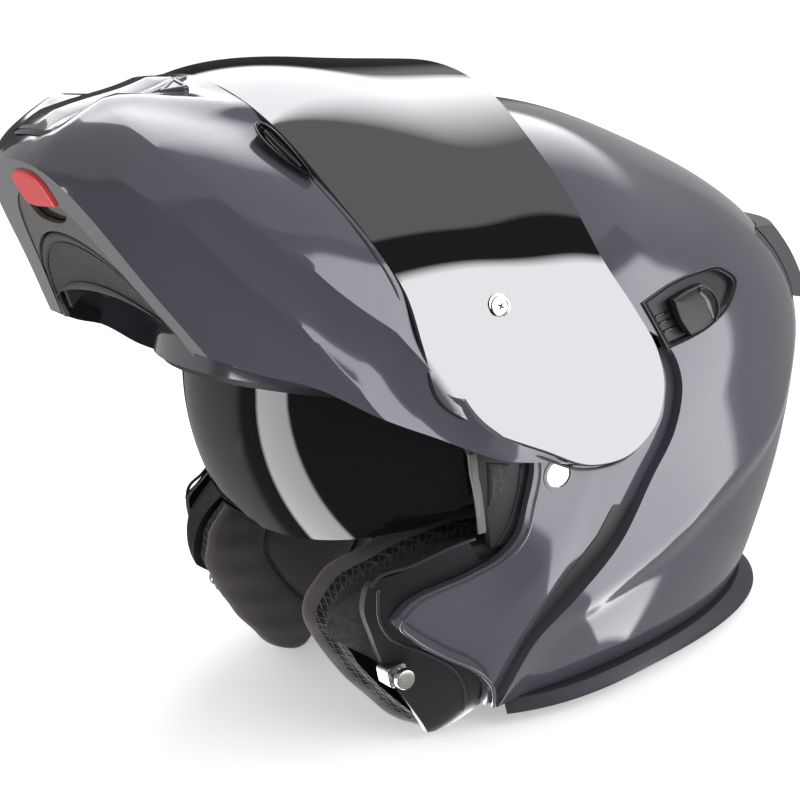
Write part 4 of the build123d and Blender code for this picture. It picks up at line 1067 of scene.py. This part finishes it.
def makePads():
    # A cheek pad is its outline on a plane beside the cheek, carried through a section of depths and
    # sizes: bowed sides, a rolled edge, a sewn dip and a crowned middle. Its back edge is spacer mesh.
    p = padShape
    outlineCurve = softCurve(p["outline"], 9)
    section = np.array(p["section"])
    steps = np.linspace(0, len(section) - 1, 4 * (len(section) - 1) + 1)
    depth = np.interp(steps, np.arange(len(section)), section[:, 0])
    size = np.interp(steps, np.arange(len(section)), section[:, 1])
    for _ in range(2):
        depth[1:-1] = (depth[:-2] + 2 * depth[1:-1] + depth[2:]) / 4
        size[1:-1] = (size[:-2] + 2 * size[1:-1] + size[2:]) / 4
    centre = np.array(p["centre"]) * hinge["unit"]
    turn = radians(p["turn"])
    normal, along = np.array([cos(turn), -sin(turn), 0]), np.array([sin(turn), cos(turn), 0])
    sizes = size[:, None, None]
    flat = centre + sizes * (outlineCurve - centre)[None]
    outer = np.clip(sizes[..., 0] - 0.64, 0, 0.3) / 0.3
    wrinkle = 0.0005 * np.sin(flat[..., 1] * 420 + flat[..., 0] * 160) * outer
    start = np.array([p["x"], p["y"], 0])
    points = (start - normal * (depth * p["thick"])[:, None, None] + normal * wrinkle[..., None]
              + along * ((flat[..., :1] - p["y"]) / cos(turn)) + np.array([0, 0, 1.0]) * flat[..., 1:])
    points[..., 2] = np.maximum(points[..., 2], -0.1335)
    rows, columns = points.shape[:2]
    for side, name in sides:
        grid = points * np.array([side, 1, 1])
        faces = gridFaces(rows, columns, closeColumns=True)
        piece = outwards(newPiece("cheekPad_" + name, intoFrame(grid), faces))
        facingOut(piece, intoFrame(np.array([side * 0.075, centre[0], centre[1]])))
        wear(piece, "pad", "root", ["cheek_pad_" + name])
        piece.data.materials.append(finishes["mesh"])
        row = np.repeat(np.arange(rows - 1), columns)
        piece.data.polygons.foreach_set("material_index", (depth[row] < p["meshRows"]).astype(np.int32))
        seam = np.argmin(np.abs(size - 0.66) + (depth < 0.8))
        path = grid[seam] - normal * np.array([side, 1, 1]) * 0.0002
        piping = tube("padPiping_" + name, path, p["piping"], True)
        wear(piping, "lining", "root")


makePads()
print("pads made")


def mound(name, rim, levels, lay):
    # A closed form over an outline: at each level the outline is scaled about its own middle and
    # laid at a height, and the last level closes on the middle point.
    rim = np.asarray(rim, float)
    middle = rim.mean(0)
    rings = [lay(middle + size * (rim - middle), height) for size, height in levels]
    ends = [lay(middle[None], levels[k][1]) for k in (0, -1)]
    return closedGrid(name, np.stack(rings), np.vstack(ends))


def onDome(dome, side=1, raised=False):
    # Lays side-view points on a dome's flank at a height above its skin.
    return lambda points, height: intoFrame(onSide(dome, points, height) * np.array([side, 1, 1]), raised)


def onFloor(raised=True):
    # Lays plan points at a level of the closed chin bar.
    return lambda points, height: intoFrame(np.column_stack([points, np.full(len(points), height)]), raised)


def softPlan(points, steps=8, corners=()):
    return softCurve(np.array(points, float) / hinge["unit"] / 1000, steps, corners)


def surfaceArea(piece):
    areas = np.empty(len(piece.data.polygons))
    piece.data.polygons.foreach_get("area", areas)
    return float(areas.sum())


liningShape = {"pitch": 0.026, "draw": 0.0042, "top": -0.0008, "low": -0.009}


def quilting(share, angle):
    # Seams run from front to back. Between two of them the lining swells as the root of the
    # distance to the nearer seam.
    across = share * (domes["head"]["halfWidth"] + liningShape["low"]) / liningShape["pitch"] + 0 * angle
    swell = np.abs(across - np.round(across)) * 2
    return liningShape["draw"] * (1 - np.clip(swell, 0, 1) ** 0.5)


def makeLinings():
    # Crown lining, quilted from front to back, and the lining of the chin bar.
    low = closedDome("head", liningShape["low"], ridge=quilting, rows=150)
    liner = carve(closedDome("head", liningShape["top"], rows=90, label="crownLining"),
                  [("DIFFERENCE", prism(outline("lining"))), ("DIFFERENCE", low)])
    wear(crisp(liner), "lining", "root", ["crown_liner"])
    pockets = [block((0.076, -0.152, -0.116), (0.3, 0, 0), True),
               block((-0.3, -0.152, -0.116), (-0.076, 0, 0), True),
               block((-0.0235, -0.186, -0.3), (0.0235, -0.166, -0.112), True)]
    lining = carve(closedDome("chin", -0.0158, rows=90, raised=True, label="chinLining"),
                   [("INTERSECT", prism(outline("chinLining"), raised=True)),
                    ("DIFFERENCE", closedDome("chin", -0.0180, rows=90, raised=True))]
                   + [("DIFFERENCE", tool) for tool in pockets])
    wear(crisp(lining), "lining", "chin_bar", ["chin_lining"])


makeLinings()
print("linings made")

rollShape = {
    "halfWidth": 0.0888, "rear": 0.0958, "power": 2.4, "end": 67.5, "thick": 0.0096, "tall": 0.0256,
    "middle": -0.1062, "leanIn": 0.005, "gathers": 9,
}


def makeNeckRoll():
    # The padded roll round the nape: a rounded section carried round an oval. It thins to its two
    # ends, and dips a little at each sewn gather.
    r = rollShape
    t = np.linspace(-1, 1, 181)[:, None]
    around = np.linspace(0, 2 * pi, 41)[None, :-1]
    turn = t * radians(r["end"])
    x = r["halfWidth"] * np.sign(turn) * np.abs(np.sin(turn)) ** (2 / r["power"])
    y = r["rear"] * np.abs(np.cos(turn)) ** (2 / r["power"])
    path = np.concatenate([x, y], 1)
    ahead = np.gradient(path, axis=0)
    ahead /= np.linalg.norm(ahead, axis=1, keepdims=True)
    outward = np.column_stack([-ahead[:, 1], ahead[:, 0]])
    outward *= np.sign((outward * path).sum(1, keepdims=True))
    size = np.clip((1 - np.abs(t)) / 0.05, 0, 1) ** 0.5 * 0.97 + 0.03
    dip = np.abs(np.sin(t * r["gathers"] * pi / 2)) ** 0.35
    c, q = np.cos(around), np.sin(around)
    thick = r["thick"] * np.sign(c) * np.abs(c) ** 0.85 * size * (0.90 + 0.10 * dip)
    tall = r["tall"] * np.sign(q) * np.abs(q) ** 0.75 * (0.75 + 0.25 * size)
    lean = -r["leanIn"] * np.clip(-tall / r["tall"], 0, 1)
    away = thick + lean
    points = np.stack([x + away * outward[:, :1], y + away * outward[:, 1:], r["middle"] + tall + 0 * x], -1)
    ends = np.stack([points[0].mean(0), points[-1].mean(0)])
    roll = closedGrid("neckRoll", intoFrame(points), intoFrame(ends))
    wear(roll, "lining", "root", ["neck_roll"])


makeNeckRoll()
print("neck roll made")

floorShape = {
    "level": -0.124, "thick": 0.0022, "arch": (0.065, 0.0598), "archMiddle": -0.100,
    "curtainOut": (0.0638, 0.0585), "curtainTurn": 76.0, "curtainHalf": 0.0585, "curtainNear": -0.1290,
    "curtainEnd": -0.1215, "sag": 0.0016, "seam": 0.00035,
}


def plateOutline(reach):
    # The front half of an ellipse round the wearer's chin.
    turn = np.linspace(-radians(80), radians(80), 61)
    return np.column_stack([reach[0] * np.sin(turn), floorShape["archMiddle"] - reach[1] * np.cos(turn)])


def makeFloorPlate():
    # A moulded plate inside the lip, with a slot that the red tab slides in.
    c = floorShape
    hole = np.vstack([plateOutline(c["arch"]), [[0.07, -0.09], [-0.07, -0.09]]])
    slab = block((-0.3, -0.3, c["level"] + 0.0004), (0.3, chinShape["back"], c["level"] + c["thick"]), True)
    through = [(1, -0.13), (1, -0.11)]
    opening = mound("tool", hole, through, onFloor())
    slotRim = softPlan([(-10, -167), (-2, -165), (10, -164.5), (20, -167), (24, -170), (22, -178), (23, -187),
                        (5, -190), (-10, -187), (-13, -178)])
    slot = mound("tool", slotRim, through, onFloor())
    plate = carve(closedDome("chin", -0.0107, raised=True, label="chinFloorPlate"),
                  [("INTERSECT", slab), ("DIFFERENCE", opening), ("DIFFERENCE", slot)])
    wear(crisp(plate), "taupe", "chin_bar", ["chin_bottom_plate"])
    well = mound("tabSlotFloor", slotRim, [(0.99, -0.1206), (0.99, -0.1212), (0.90, -0.1214)], onFloor())
    wear(crisp(well), "gloss", "chin_bar")


def makeReleaseTab():
    # The red tab: a rounded key with a softened rim and a nearly flat face.
    rim = softPlan([(-9, -180), (-7, -187), (-1, -189.6), (9, -190), (17, -188.5), (21.5, -185), (22.5, -180),
                    (22, -174), (12, -173.6), (-4, -173.6), (-8, -174.5)], corners=(7,))
    levels = [(0.96, -0.1215), (1.0, -0.1222), (1.0, -0.1246), (0.985, -0.1251), (0.94, -0.1254),
              (0.80, -0.1256), (0.60, -0.1255), (0.3, -0.1254)]
    tab = mound("releaseTab", rim, levels, onFloor())
    wear(crisp(tab, 50), "red", "release_tab", ["release_tab"])


def makeCurtain():
    # The knitted curtain behind the plate: rows run from the plate's arch to its free edge, and it
    # sags between them as a half sine. Its two borders are sewn double, and it thins out at its rim.
    c = floorShape
    down = np.linspace(0, 1, 25)[None, :]
    turn = np.linspace(-1, 1, 81)[:, None]
    swing = turn * radians(c["curtainTurn"])
    farDepth = c["archMiddle"] - c["curtainOut"][1] * np.cos(swing)
    far = np.stack([c["curtainOut"][0] * np.sin(swing), farDepth], -1)
    nearDepth = c["curtainNear"] + (c["curtainEnd"] - c["curtainNear"]) * turn ** 2
    near = np.stack([turn * c["curtainHalf"], nearDepth], -1)
    plan = far * (1 - down[..., None]) + near * down[..., None]
    hang = c["sag"] * (1 - turn ** 2)
    border = np.where((down < 0.16) | (down > 0.86), 1.0, 0.0)
    thin = np.clip(np.minimum(down, 1 - down) / 0.04, 0, 1) * np.clip((1 - np.abs(turn)) / 0.02, 0, 1)
    half = (0.00045 + 0.0004 * border) * thin
    level = c["level"] + 0.0012 + hang * np.sin(pi * down)
    below = np.concatenate([plan, (level - half)[..., None]], -1)
    above = np.concatenate([plan, (level + half)[..., None]], -1)[:, ::-1]
    points = np.concatenate([below, above[:, 1:-1]], 1)
    rows, columns = points.shape[:2]
    faces = gridFaces(rows, columns, closeColumns=True)
    curtain = outwards(newPiece("chinCurtain", intoFrame(points, True), faces))
    wear(curtain, "knit", "chin_bar", ["chin_curtain"])
    curtain.data.materials.append(finishes["lining"])
    column = np.tile(np.arange(columns), rows - 1)
    place = np.where(column < 24, column, 47 - column) / 24
    edge = (place < 0.17) | (place > 0.84)
    curtain.data.polygons.foreach_set("material_index", edge.astype(np.int32))
    area = surfaceArea(curtain) / 2
    for name, at in (("outer", 0.165), ("inner", 0.855)):
        line = far[:, 0] * (1 - at) + near[:, 0] * at
        path = np.column_stack([line, c["level"] + 0.0003 + hang * np.sin(pi * at)])
        seam = tube("curtainSeam_" + name, path[2:-2], c["seam"], raised=True)
        wear(seam, "black", "chin_bar")


def makeChinFloor():
    makeFloorPlate()
    makeReleaseTab()
    makeCurtain()


makeChinFloor()
print("chin floor made")

strapShape = {
    "route": [(0.104, -0.046), (0.1035, -0.062), (0.102, -0.078), (0.096, -0.090), (0.086, -0.100),
              (0.068, -0.107), (0.046, -0.112)],
    "front": 0.001, "wide": 0.025, "thick": 0.002, "leftEnd": 0.0205, "rightEnd": 0.030, "level": -0.112,
    "stitch": 0.0003, "stitchAside": 0.0095,
}


def makeStraps():
    # Each strap is a flat woven band: a slightly bowed section with rounded edges along its route.
    s = strapShape
    for side, name, end in ((1, "left", s["leftEnd"]), (-1, "right", s["rightEnd"])):
        last = [((s["route"][-1][0] + end) / 2, s["level"]), (end, s["level"])]
        route = softCurve(np.array(s["route"] + last) / hinge["unit"], 10, closed=False)
        ahead = np.gradient(route, axis=0)
        ahead /= np.linalg.norm(ahead, axis=1, keepdims=True)
        normal = np.column_stack([ahead[:, 1], -ahead[:, 0]])
        around = np.linspace(0, 2 * pi, 33)[:-1]
        wide = s["wide"] / 2 * np.sign(np.cos(around)) * np.abs(np.cos(around)) ** 0.25
        thick = s["thick"] / 2 * np.sign(np.sin(around)) * np.abs(np.sin(around)) ** 0.5
        step = np.arange(len(route))
        fade = np.clip(np.minimum(step, len(route) - 1 - step) / 2 + 0.02, 0, 1)[:, None]
        away = thick[None] * fade
        x = (route[:, :1] + normal[:, :1] * away) * side
        z = route[:, 1:] + normal[:, 1:] * away
        middle = s["front"] + s["wide"] / 2
        y = middle + wide[None] + 0 * x
        points = np.stack([x, y, z], -1)
        rows, columns = points.shape[:2]
        faces = gridFaces(rows, columns, closeColumns=True)
        band = outwards(newPiece("strap_" + name, intoFrame(points), faces))
        wear(band, "webbing", "root", ["chin_strap_" + name])
        sewn = route[2:-2] + normal[2:-2] * s["thick"] / 2
        for edge, end in ((-1, "front"), (1, "rear")):
            across = np.full(len(sewn), middle + edge * s["stitchAside"])
            line = np.column_stack([sewn[:, 0] * side, across, sewn[:, 1]])
            stitch = tube("strapStitch_%s_%s" % (name, end), line, s["stitch"], around=6)
            wear(stitch, "lining", "root")


makeStraps()
print("straps made")


sliderShape = {
    # size, height
    "housing": [(0.97, -0.0029), (1.0, -0.0020), (1.0, 0.0004), (0.985, 0.0009), (0.965, 0.0009),
                (0.950, 0.0002), (0.940, 0.0002), (0.915, 0.0007), (0.895, 0.0005), (0.87, -0.0014),
                (0.86, -0.0020), (0.5, -0.0021)],
    "knob": [(0.97, -0.0012), (1.0, -0.0008), (1.0, 0.0022), (0.98, 0.0029), (0.93, 0.0032), (0.6, 0.0034),
             (0.3, 0.0035)],
    "slots": ((0.0272, 0.0287), (0.0285, 0.0255), (0.0297, 0.0217)), "slotLong": 0.0075,
    "scoop": [(0.505, 0.330), (0.535, 0.325), (0.575, 0.285), (0.570, 0.225), (0.545, 0.200), (0.530, 0.240),
              (0.525, 0.285)],
    "ridge": [(0.515, 0.337), (0.560, 0.330), (0.592, 0.285), (0.585, 0.222), (0.550, 0.190)],
}


def makeSlider():
    # The sun visor's slider: a sunken housing with a rim and three ribbed slots, and a thumb plate
    # with a scoop at its rear end.
    s = sliderShape
    base = mound("sliderHousing", outline("housing"), s["housing"], onDome("shell"))
    wear(crisp(base, 40), "black", "root", ["slider_housing"])
    for y, z in s["slots"]:
        path = np.column_stack([np.linspace(y, y + s["slotLong"], 12), np.full(12, z)])
        slot = tube("sliderSlot_%d" % round(z * 10000), onSide("shell", path, -0.0019), 0.00055)
        wear(slot, "gloss", "root")
    plate = mound("sliderKnob", outline("knob"), s["knob"], onDome("shell"))
    wear(crisp(plate, 40), "black", "sun_slider", ["sun_slider_knob"])
    levels = [(1.0, 0.0030), (1.0, 0.00345), (0.9, 0.0036)]
    dark = mound("knobScoop", softCurve(s["scoop"], 8), levels, onDome("shell"))
    wear(crisp(dark, 40), "gloss", "sun_slider")
    ridge = onSide("shell", softCurve(s["ridge"], 8, closed=False), 0.0034)
    wear(tube("knobRidge", ridge, 0.0009), "black", "sun_slider")


makeSlider()
print("slider made")

tabShape = {
    "start": 0.0690, "end": 0.0915, "half": 0.0044, "edge": (0.062, -17.1, 0.096, -21.6), "fullness": 1.75,
    "radius": 0.172, "lean": 0.0021,
    "levels": [(1.0, 0.0012), (1.08, 0.0030), (1.0, 0.0042), (0.84, 0.0046), (0.72, 0.0038), (0.66, 0.0024),
               (0.60, 0.0018), (0.30, 0.0016), (0.08, 0.0018)],
}


def liftTabAngle(x):
    # The visor's lower edge as a straight line of angle over x.
    x0, a0, x1, a1 = tabShape["edge"]
    return a0 + (x - x0) / (x1 - x0) * (a1 - a0)


def leafRing(scale, height, count=72):
    # A leaf round the tab: its width follows t^0.45 * (1 - t)^0.75, and it leans with the visor.
    t = tabShape
    turn = np.linspace(0, 2 * pi, count + 1)[:-1]
    along = (1 - np.cos(turn)) / 2
    wide = np.clip(along, 0, 1) ** 0.45 * np.clip(1 - along, 0, 1) ** 0.75
    wide = wide * t["fullness"] * np.sign(np.sin(turn)) * scale
    reach = 0.5 + (along - 0.5) * (0.75 + 0.25 * scale)
    x = t["start"] + (t["end"] - t["start"]) * reach
    angle = liftTabAngle(x) + np.degrees(wide * t["half"] / t["radius"])
    return lift("visor", x / domes["visor"]["halfWidth"], angle, height - t["lean"] * wide)


def makeLiftTab():
    # The visor's lifting tab: a leaf-shaped rim astride the visor's lower edge, round a hollow with
    # a bar along it.
    t = tabShape
    points = np.stack([leafRing(scale, height) for scale, height in t["levels"]])
    faces = gridFaces(*points.shape[:2], closeColumns=True)
    piece = newPiece("visorLiftTab", intoFrame(points, True), faces)
    wear(facingOut(piece), "gloss", "visor", ["visor_lift_tab"])
    x = np.linspace(t["start"] + 0.004, t["end"] - 0.004, 24)
    bar = lift("visor", x / domes["visor"]["halfWidth"], liftTabAngle(x) - 0.1, 0.0036)
    wear(tube("visorLiftBar", bar, 0.0008, raised=True), "soft", "visor")


makeLiftTab()
print("lifting tab made")


fittings = {
    # name, side-view shares, radius, finish
    "lines": [
        ("ridgeNear", [(-0.43, -0.13), (-0.47, -0.29), (-0.54, -0.41)], 0.0005, "soft"),
        ("ridgeFar", [(-0.46, -0.12), (-0.50, -0.26), (-0.56, -0.38), (-0.60, -0.43)], 0.0006, "frame"),
        ("plateEdge", [(-1.07, -0.50), (-1.07, -0.65), (-1.02, -0.77), (-0.90, -0.87), (-0.81, -0.98),
                       (-0.78, -1.08), (-0.77, -1.21)], 0.0009, "frame"),
        ("plateTop", [(-1.09, -0.48), (-1.06, -0.445), (-0.95, -0.425), (-0.79, -0.385), (-0.69, -0.375)],
         0.0008, "frame"),
    ],
    # name, side-view shares, height, finish
    "patches": [
        ("grainPatch", [(-0.595, -0.07), (-0.51, -0.10), (-0.56, -0.20), (-0.625, -0.25)], 0.0007, "grained"),
        ("paleStrip", [(-0.625, -0.02), (-0.655, -0.02), (-0.668, -0.10), (-0.675, -0.36), (-0.645, -0.36),
                       (-0.64, -0.12)], 0.0006, "strip"),
    ],
}


def makeFittings():
    # Panel lines and patches on the eye frame, and the raised edges of the cheek plates.
    base = frameShape["out"]
    for side, name in sides:
        turn = np.array([side, 1, 1])
        for label, shares, radius, finish in fittings["lines"]:
            path = onSide("shell", softCurve(shares, 8, closed=False), base) * turn
            wear(tube(label + "_" + name, path, radius), finish, "root")
        for label, shares, height, finish in fittings["patches"]:
            rim = softCurve(shares, 6, range(len(shares)))
            top = base + height
            levels = [(1.0, base - 0.0005), (1.0, base + height * 0.6), (0.95, top), (0.5, top)]
            patch = mound(label + "_" + name, rim, levels, onDome("shell", side))
            wear(crisp(patch, 50), finish, "root")


makeFittings()
print("fittings made")

strikerShape = {
    "place": (-0.103, -0.093), "root": 0.073, "end": 0.0885, "head": 0.0858, "boss": 0.0822, "radius": 0.0030,
    "headRadius": 0.0044, "bossHalf": 0.0047, "squareness": 0.4, "chamfer": 0.0006,
}


def acrossAt(side):
    # Lays side-view points in a plane square to x, at a distance from the middle.
    return lambda points, height: intoFrame(np.column_stack([np.full(len(points), height * side), points]))


def makeStrikers():
    # The striker: a turned pin with a round head, on a small plate with rounded corners.
    k = strikerShape
    pinRim = disc(*k["place"], k["radius"])
    headRim = disc(*k["place"], k["headRadius"])
    turn = np.linspace(0, 2 * pi, 49)[:-1]
    circle = np.stack([np.cos(turn), np.sin(turn)], -1)
    bossRim = np.array(k["place"]) + np.sign(circle) * np.abs(circle) ** k["squareness"] * k["bossHalf"]
    head, end, boss = k["head"], k["end"], k["boss"]
    parts = [
        ("strikerPin_", pinRim, [(1, k["root"]), (1, boss), (1.0, head)]),
        ("strikerHead_", headRim, [(0.90, head - 0.0004), (1, head), (1, end - k["chamfer"]),
                                   (0.93, end - 0.0001), (0.85, end), (0.4, end)]),
        ("strikerPlate_", bossRim, [(1, k["root"]), (1, boss - 0.0004), (0.94, boss), (0.5, boss)]),
    ]
    for side, name in sides:
        for label, rim, levels in parts:
            nodes = ["striker_pin_" + name] if label == "strikerPin_" else ()
            wear(crisp(mound(label + name, rim, levels, acrossAt(side))), "steel", "root", nodes)


makeStrikers()
print("strikers made")


def makeLensPins():
    # A turned ring with a sunk middle and a cross slot, on each pin of the inner lens.
    levels = [(1.0, 0.0004), (1.0, 0.0011), (0.92, 0.0015), (0.78, 0.0014), (0.70, 0.0010), (0.45, 0.0010),
              (0.40, 0.0013), (0.2, 0.0013)]
    for side, name in sides:
        lay = onDome("visor", side, True)
        low, high = np.array(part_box("lens_pin_" + name)) - np.array(hinge["place"])
        up, over = (low + high)[1] / 2, (low + high)[2] / 2
        c, q = cos(radians(hinge["opening"])), sin(radians(hinge["opening"]))
        y, z = up * c - over * q, up * q + over * c
        ring = mound("lensPinRing_" + name, disc(y, z, 0.0041), levels, lay)
        wear(crisp(ring), "chrome", "visor")
        # The cross slot is two gloss black beads laid on the ring: painted shade for the sunk slot.
        for turn in (0.5, 2.07):
            reach = np.linspace(-0.0013, 0.0013, 6)
            path = np.column_stack([y + reach * cos(turn), z + reach * sin(turn)])
            path = onSide("visor", path, 0.0012) * np.array([side, 1, 1])
            slot = tube("lensPinSlotShade_%s_%d" % (name, turn * 10), path, 0.00042, raised=True)
            wear(slot, "gloss", "visor")


makeLensPins()
print("lens pins made")

trimShape = {
    "side": (0.110, 0.1175, 0.095), "low": (0.111, 0.1265, 0.095), "top": -0.12015, "power": 2.4,
    "front": -0.062, "bottomSide": -0.1272, "bottomRear": -0.134,
    # how far down, as a share, and how far out
    "profile": [(0.0, 0.0), (0.02, 0.0), (0.10, -0.0007), (0.25, -0.0003), (0.60, 0.0002), (0.86, 0.0006),
                (0.96, 0.0001), (1.0, -0.0013), (1.0, -0.0045), (1.0, -0.0080), (0.95, -0.0095),
                (0.5, -0.0098), (0.05, -0.0098), (0.0, -0.0090)],
}


def trimOval(reach, count=241):
    # An oval whose sine and cosine are raised to 2 / power, with a reach aside, to the rear and to
    # the front.
    turn = np.linspace(-1, 1, count) * 2.20
    power = 2 / trimShape["power"]
    aside, along = np.sin(turn), np.cos(turn)
    x = reach[0] * np.sign(aside) * np.abs(aside) ** power
    y = np.where(along > 0, reach[1], reach[2]) * np.sign(along) * np.abs(along) ** power
    return np.column_stack([x, y])


def makeTrim():
    # The soft edge under the shell: a rounded band round an oval, taller and flared at the rear.
    t = trimShape
    upper, lower = trimOval(t["side"]), trimOval(t["low"])
    keep = upper[:, 1] > t["front"]
    upper, lower = upper[keep], lower[keep]
    ahead = np.gradient(upper, axis=0)
    ahead /= np.linalg.norm(ahead, axis=1, keepdims=True)
    outward = np.column_stack([-ahead[:, 1], ahead[:, 0]])
    outward *= np.sign((outward * upper).sum(1, keepdims=True))
    rear = np.clip(upper[:, 1] / t["side"][1], 0, 1)
    bottom = t["bottomSide"] + (t["bottomRear"] - t["bottomSide"]) * rear ** 1.5
    rings = []
    for down, away in t["profile"]:
        plan = upper + (lower - upper) * down + outward * away
        rings.append(np.column_stack([plan, t["top"] + (bottom - t["top"]) * down]))
    points = np.stack(rings, 1)
    ends = np.stack([points[0].mean(0), points[-1].mean(0)])
    trim = closedGrid("baseTrim", intoFrame(points), intoFrame(ends))
    wear(crisp(trim, 50), "trim", "root", ["base_trim"])


makeTrim()
print("trim made")

# Nodes that keep their own mesh, by finish. A paired node has one on each side.
kept = {
    "single": {
        "beads": ("eps_liner", "chin_foam"), "paint": ("crown_vent_base",), "steel": ("buckle_body",),
        "black": ("crown_vent_slider", "rear_spoiler", "buckle_tongue"), "red": ("buckle_lever",),
    },
    "paired": {
        "chrome": ("stop_stud", "lens_pin"), "paint": ("stop_collar",), "gasket": ("step_gasket",),
        "beads": ("cheek_foam",), "steel": ("pivot_bolt", "strap_anchor", "latch", "latch_pin"),
        "black": ("visor_base_plate", "visor_hub", "sun_visor_arm"), "soft": ("chin_seal",),
    },
}
for finish, nodes in kept["single"].items():
    for node in nodes:
        repaint(node, finish)
for finish, nodes in kept["paired"].items():
    for node in nodes:
        for _, name in sides:
            repaint(node + "_" + name, finish)
print("nodes repainted")

bpy.context.scene.view_settings.view_transform = "Standard"
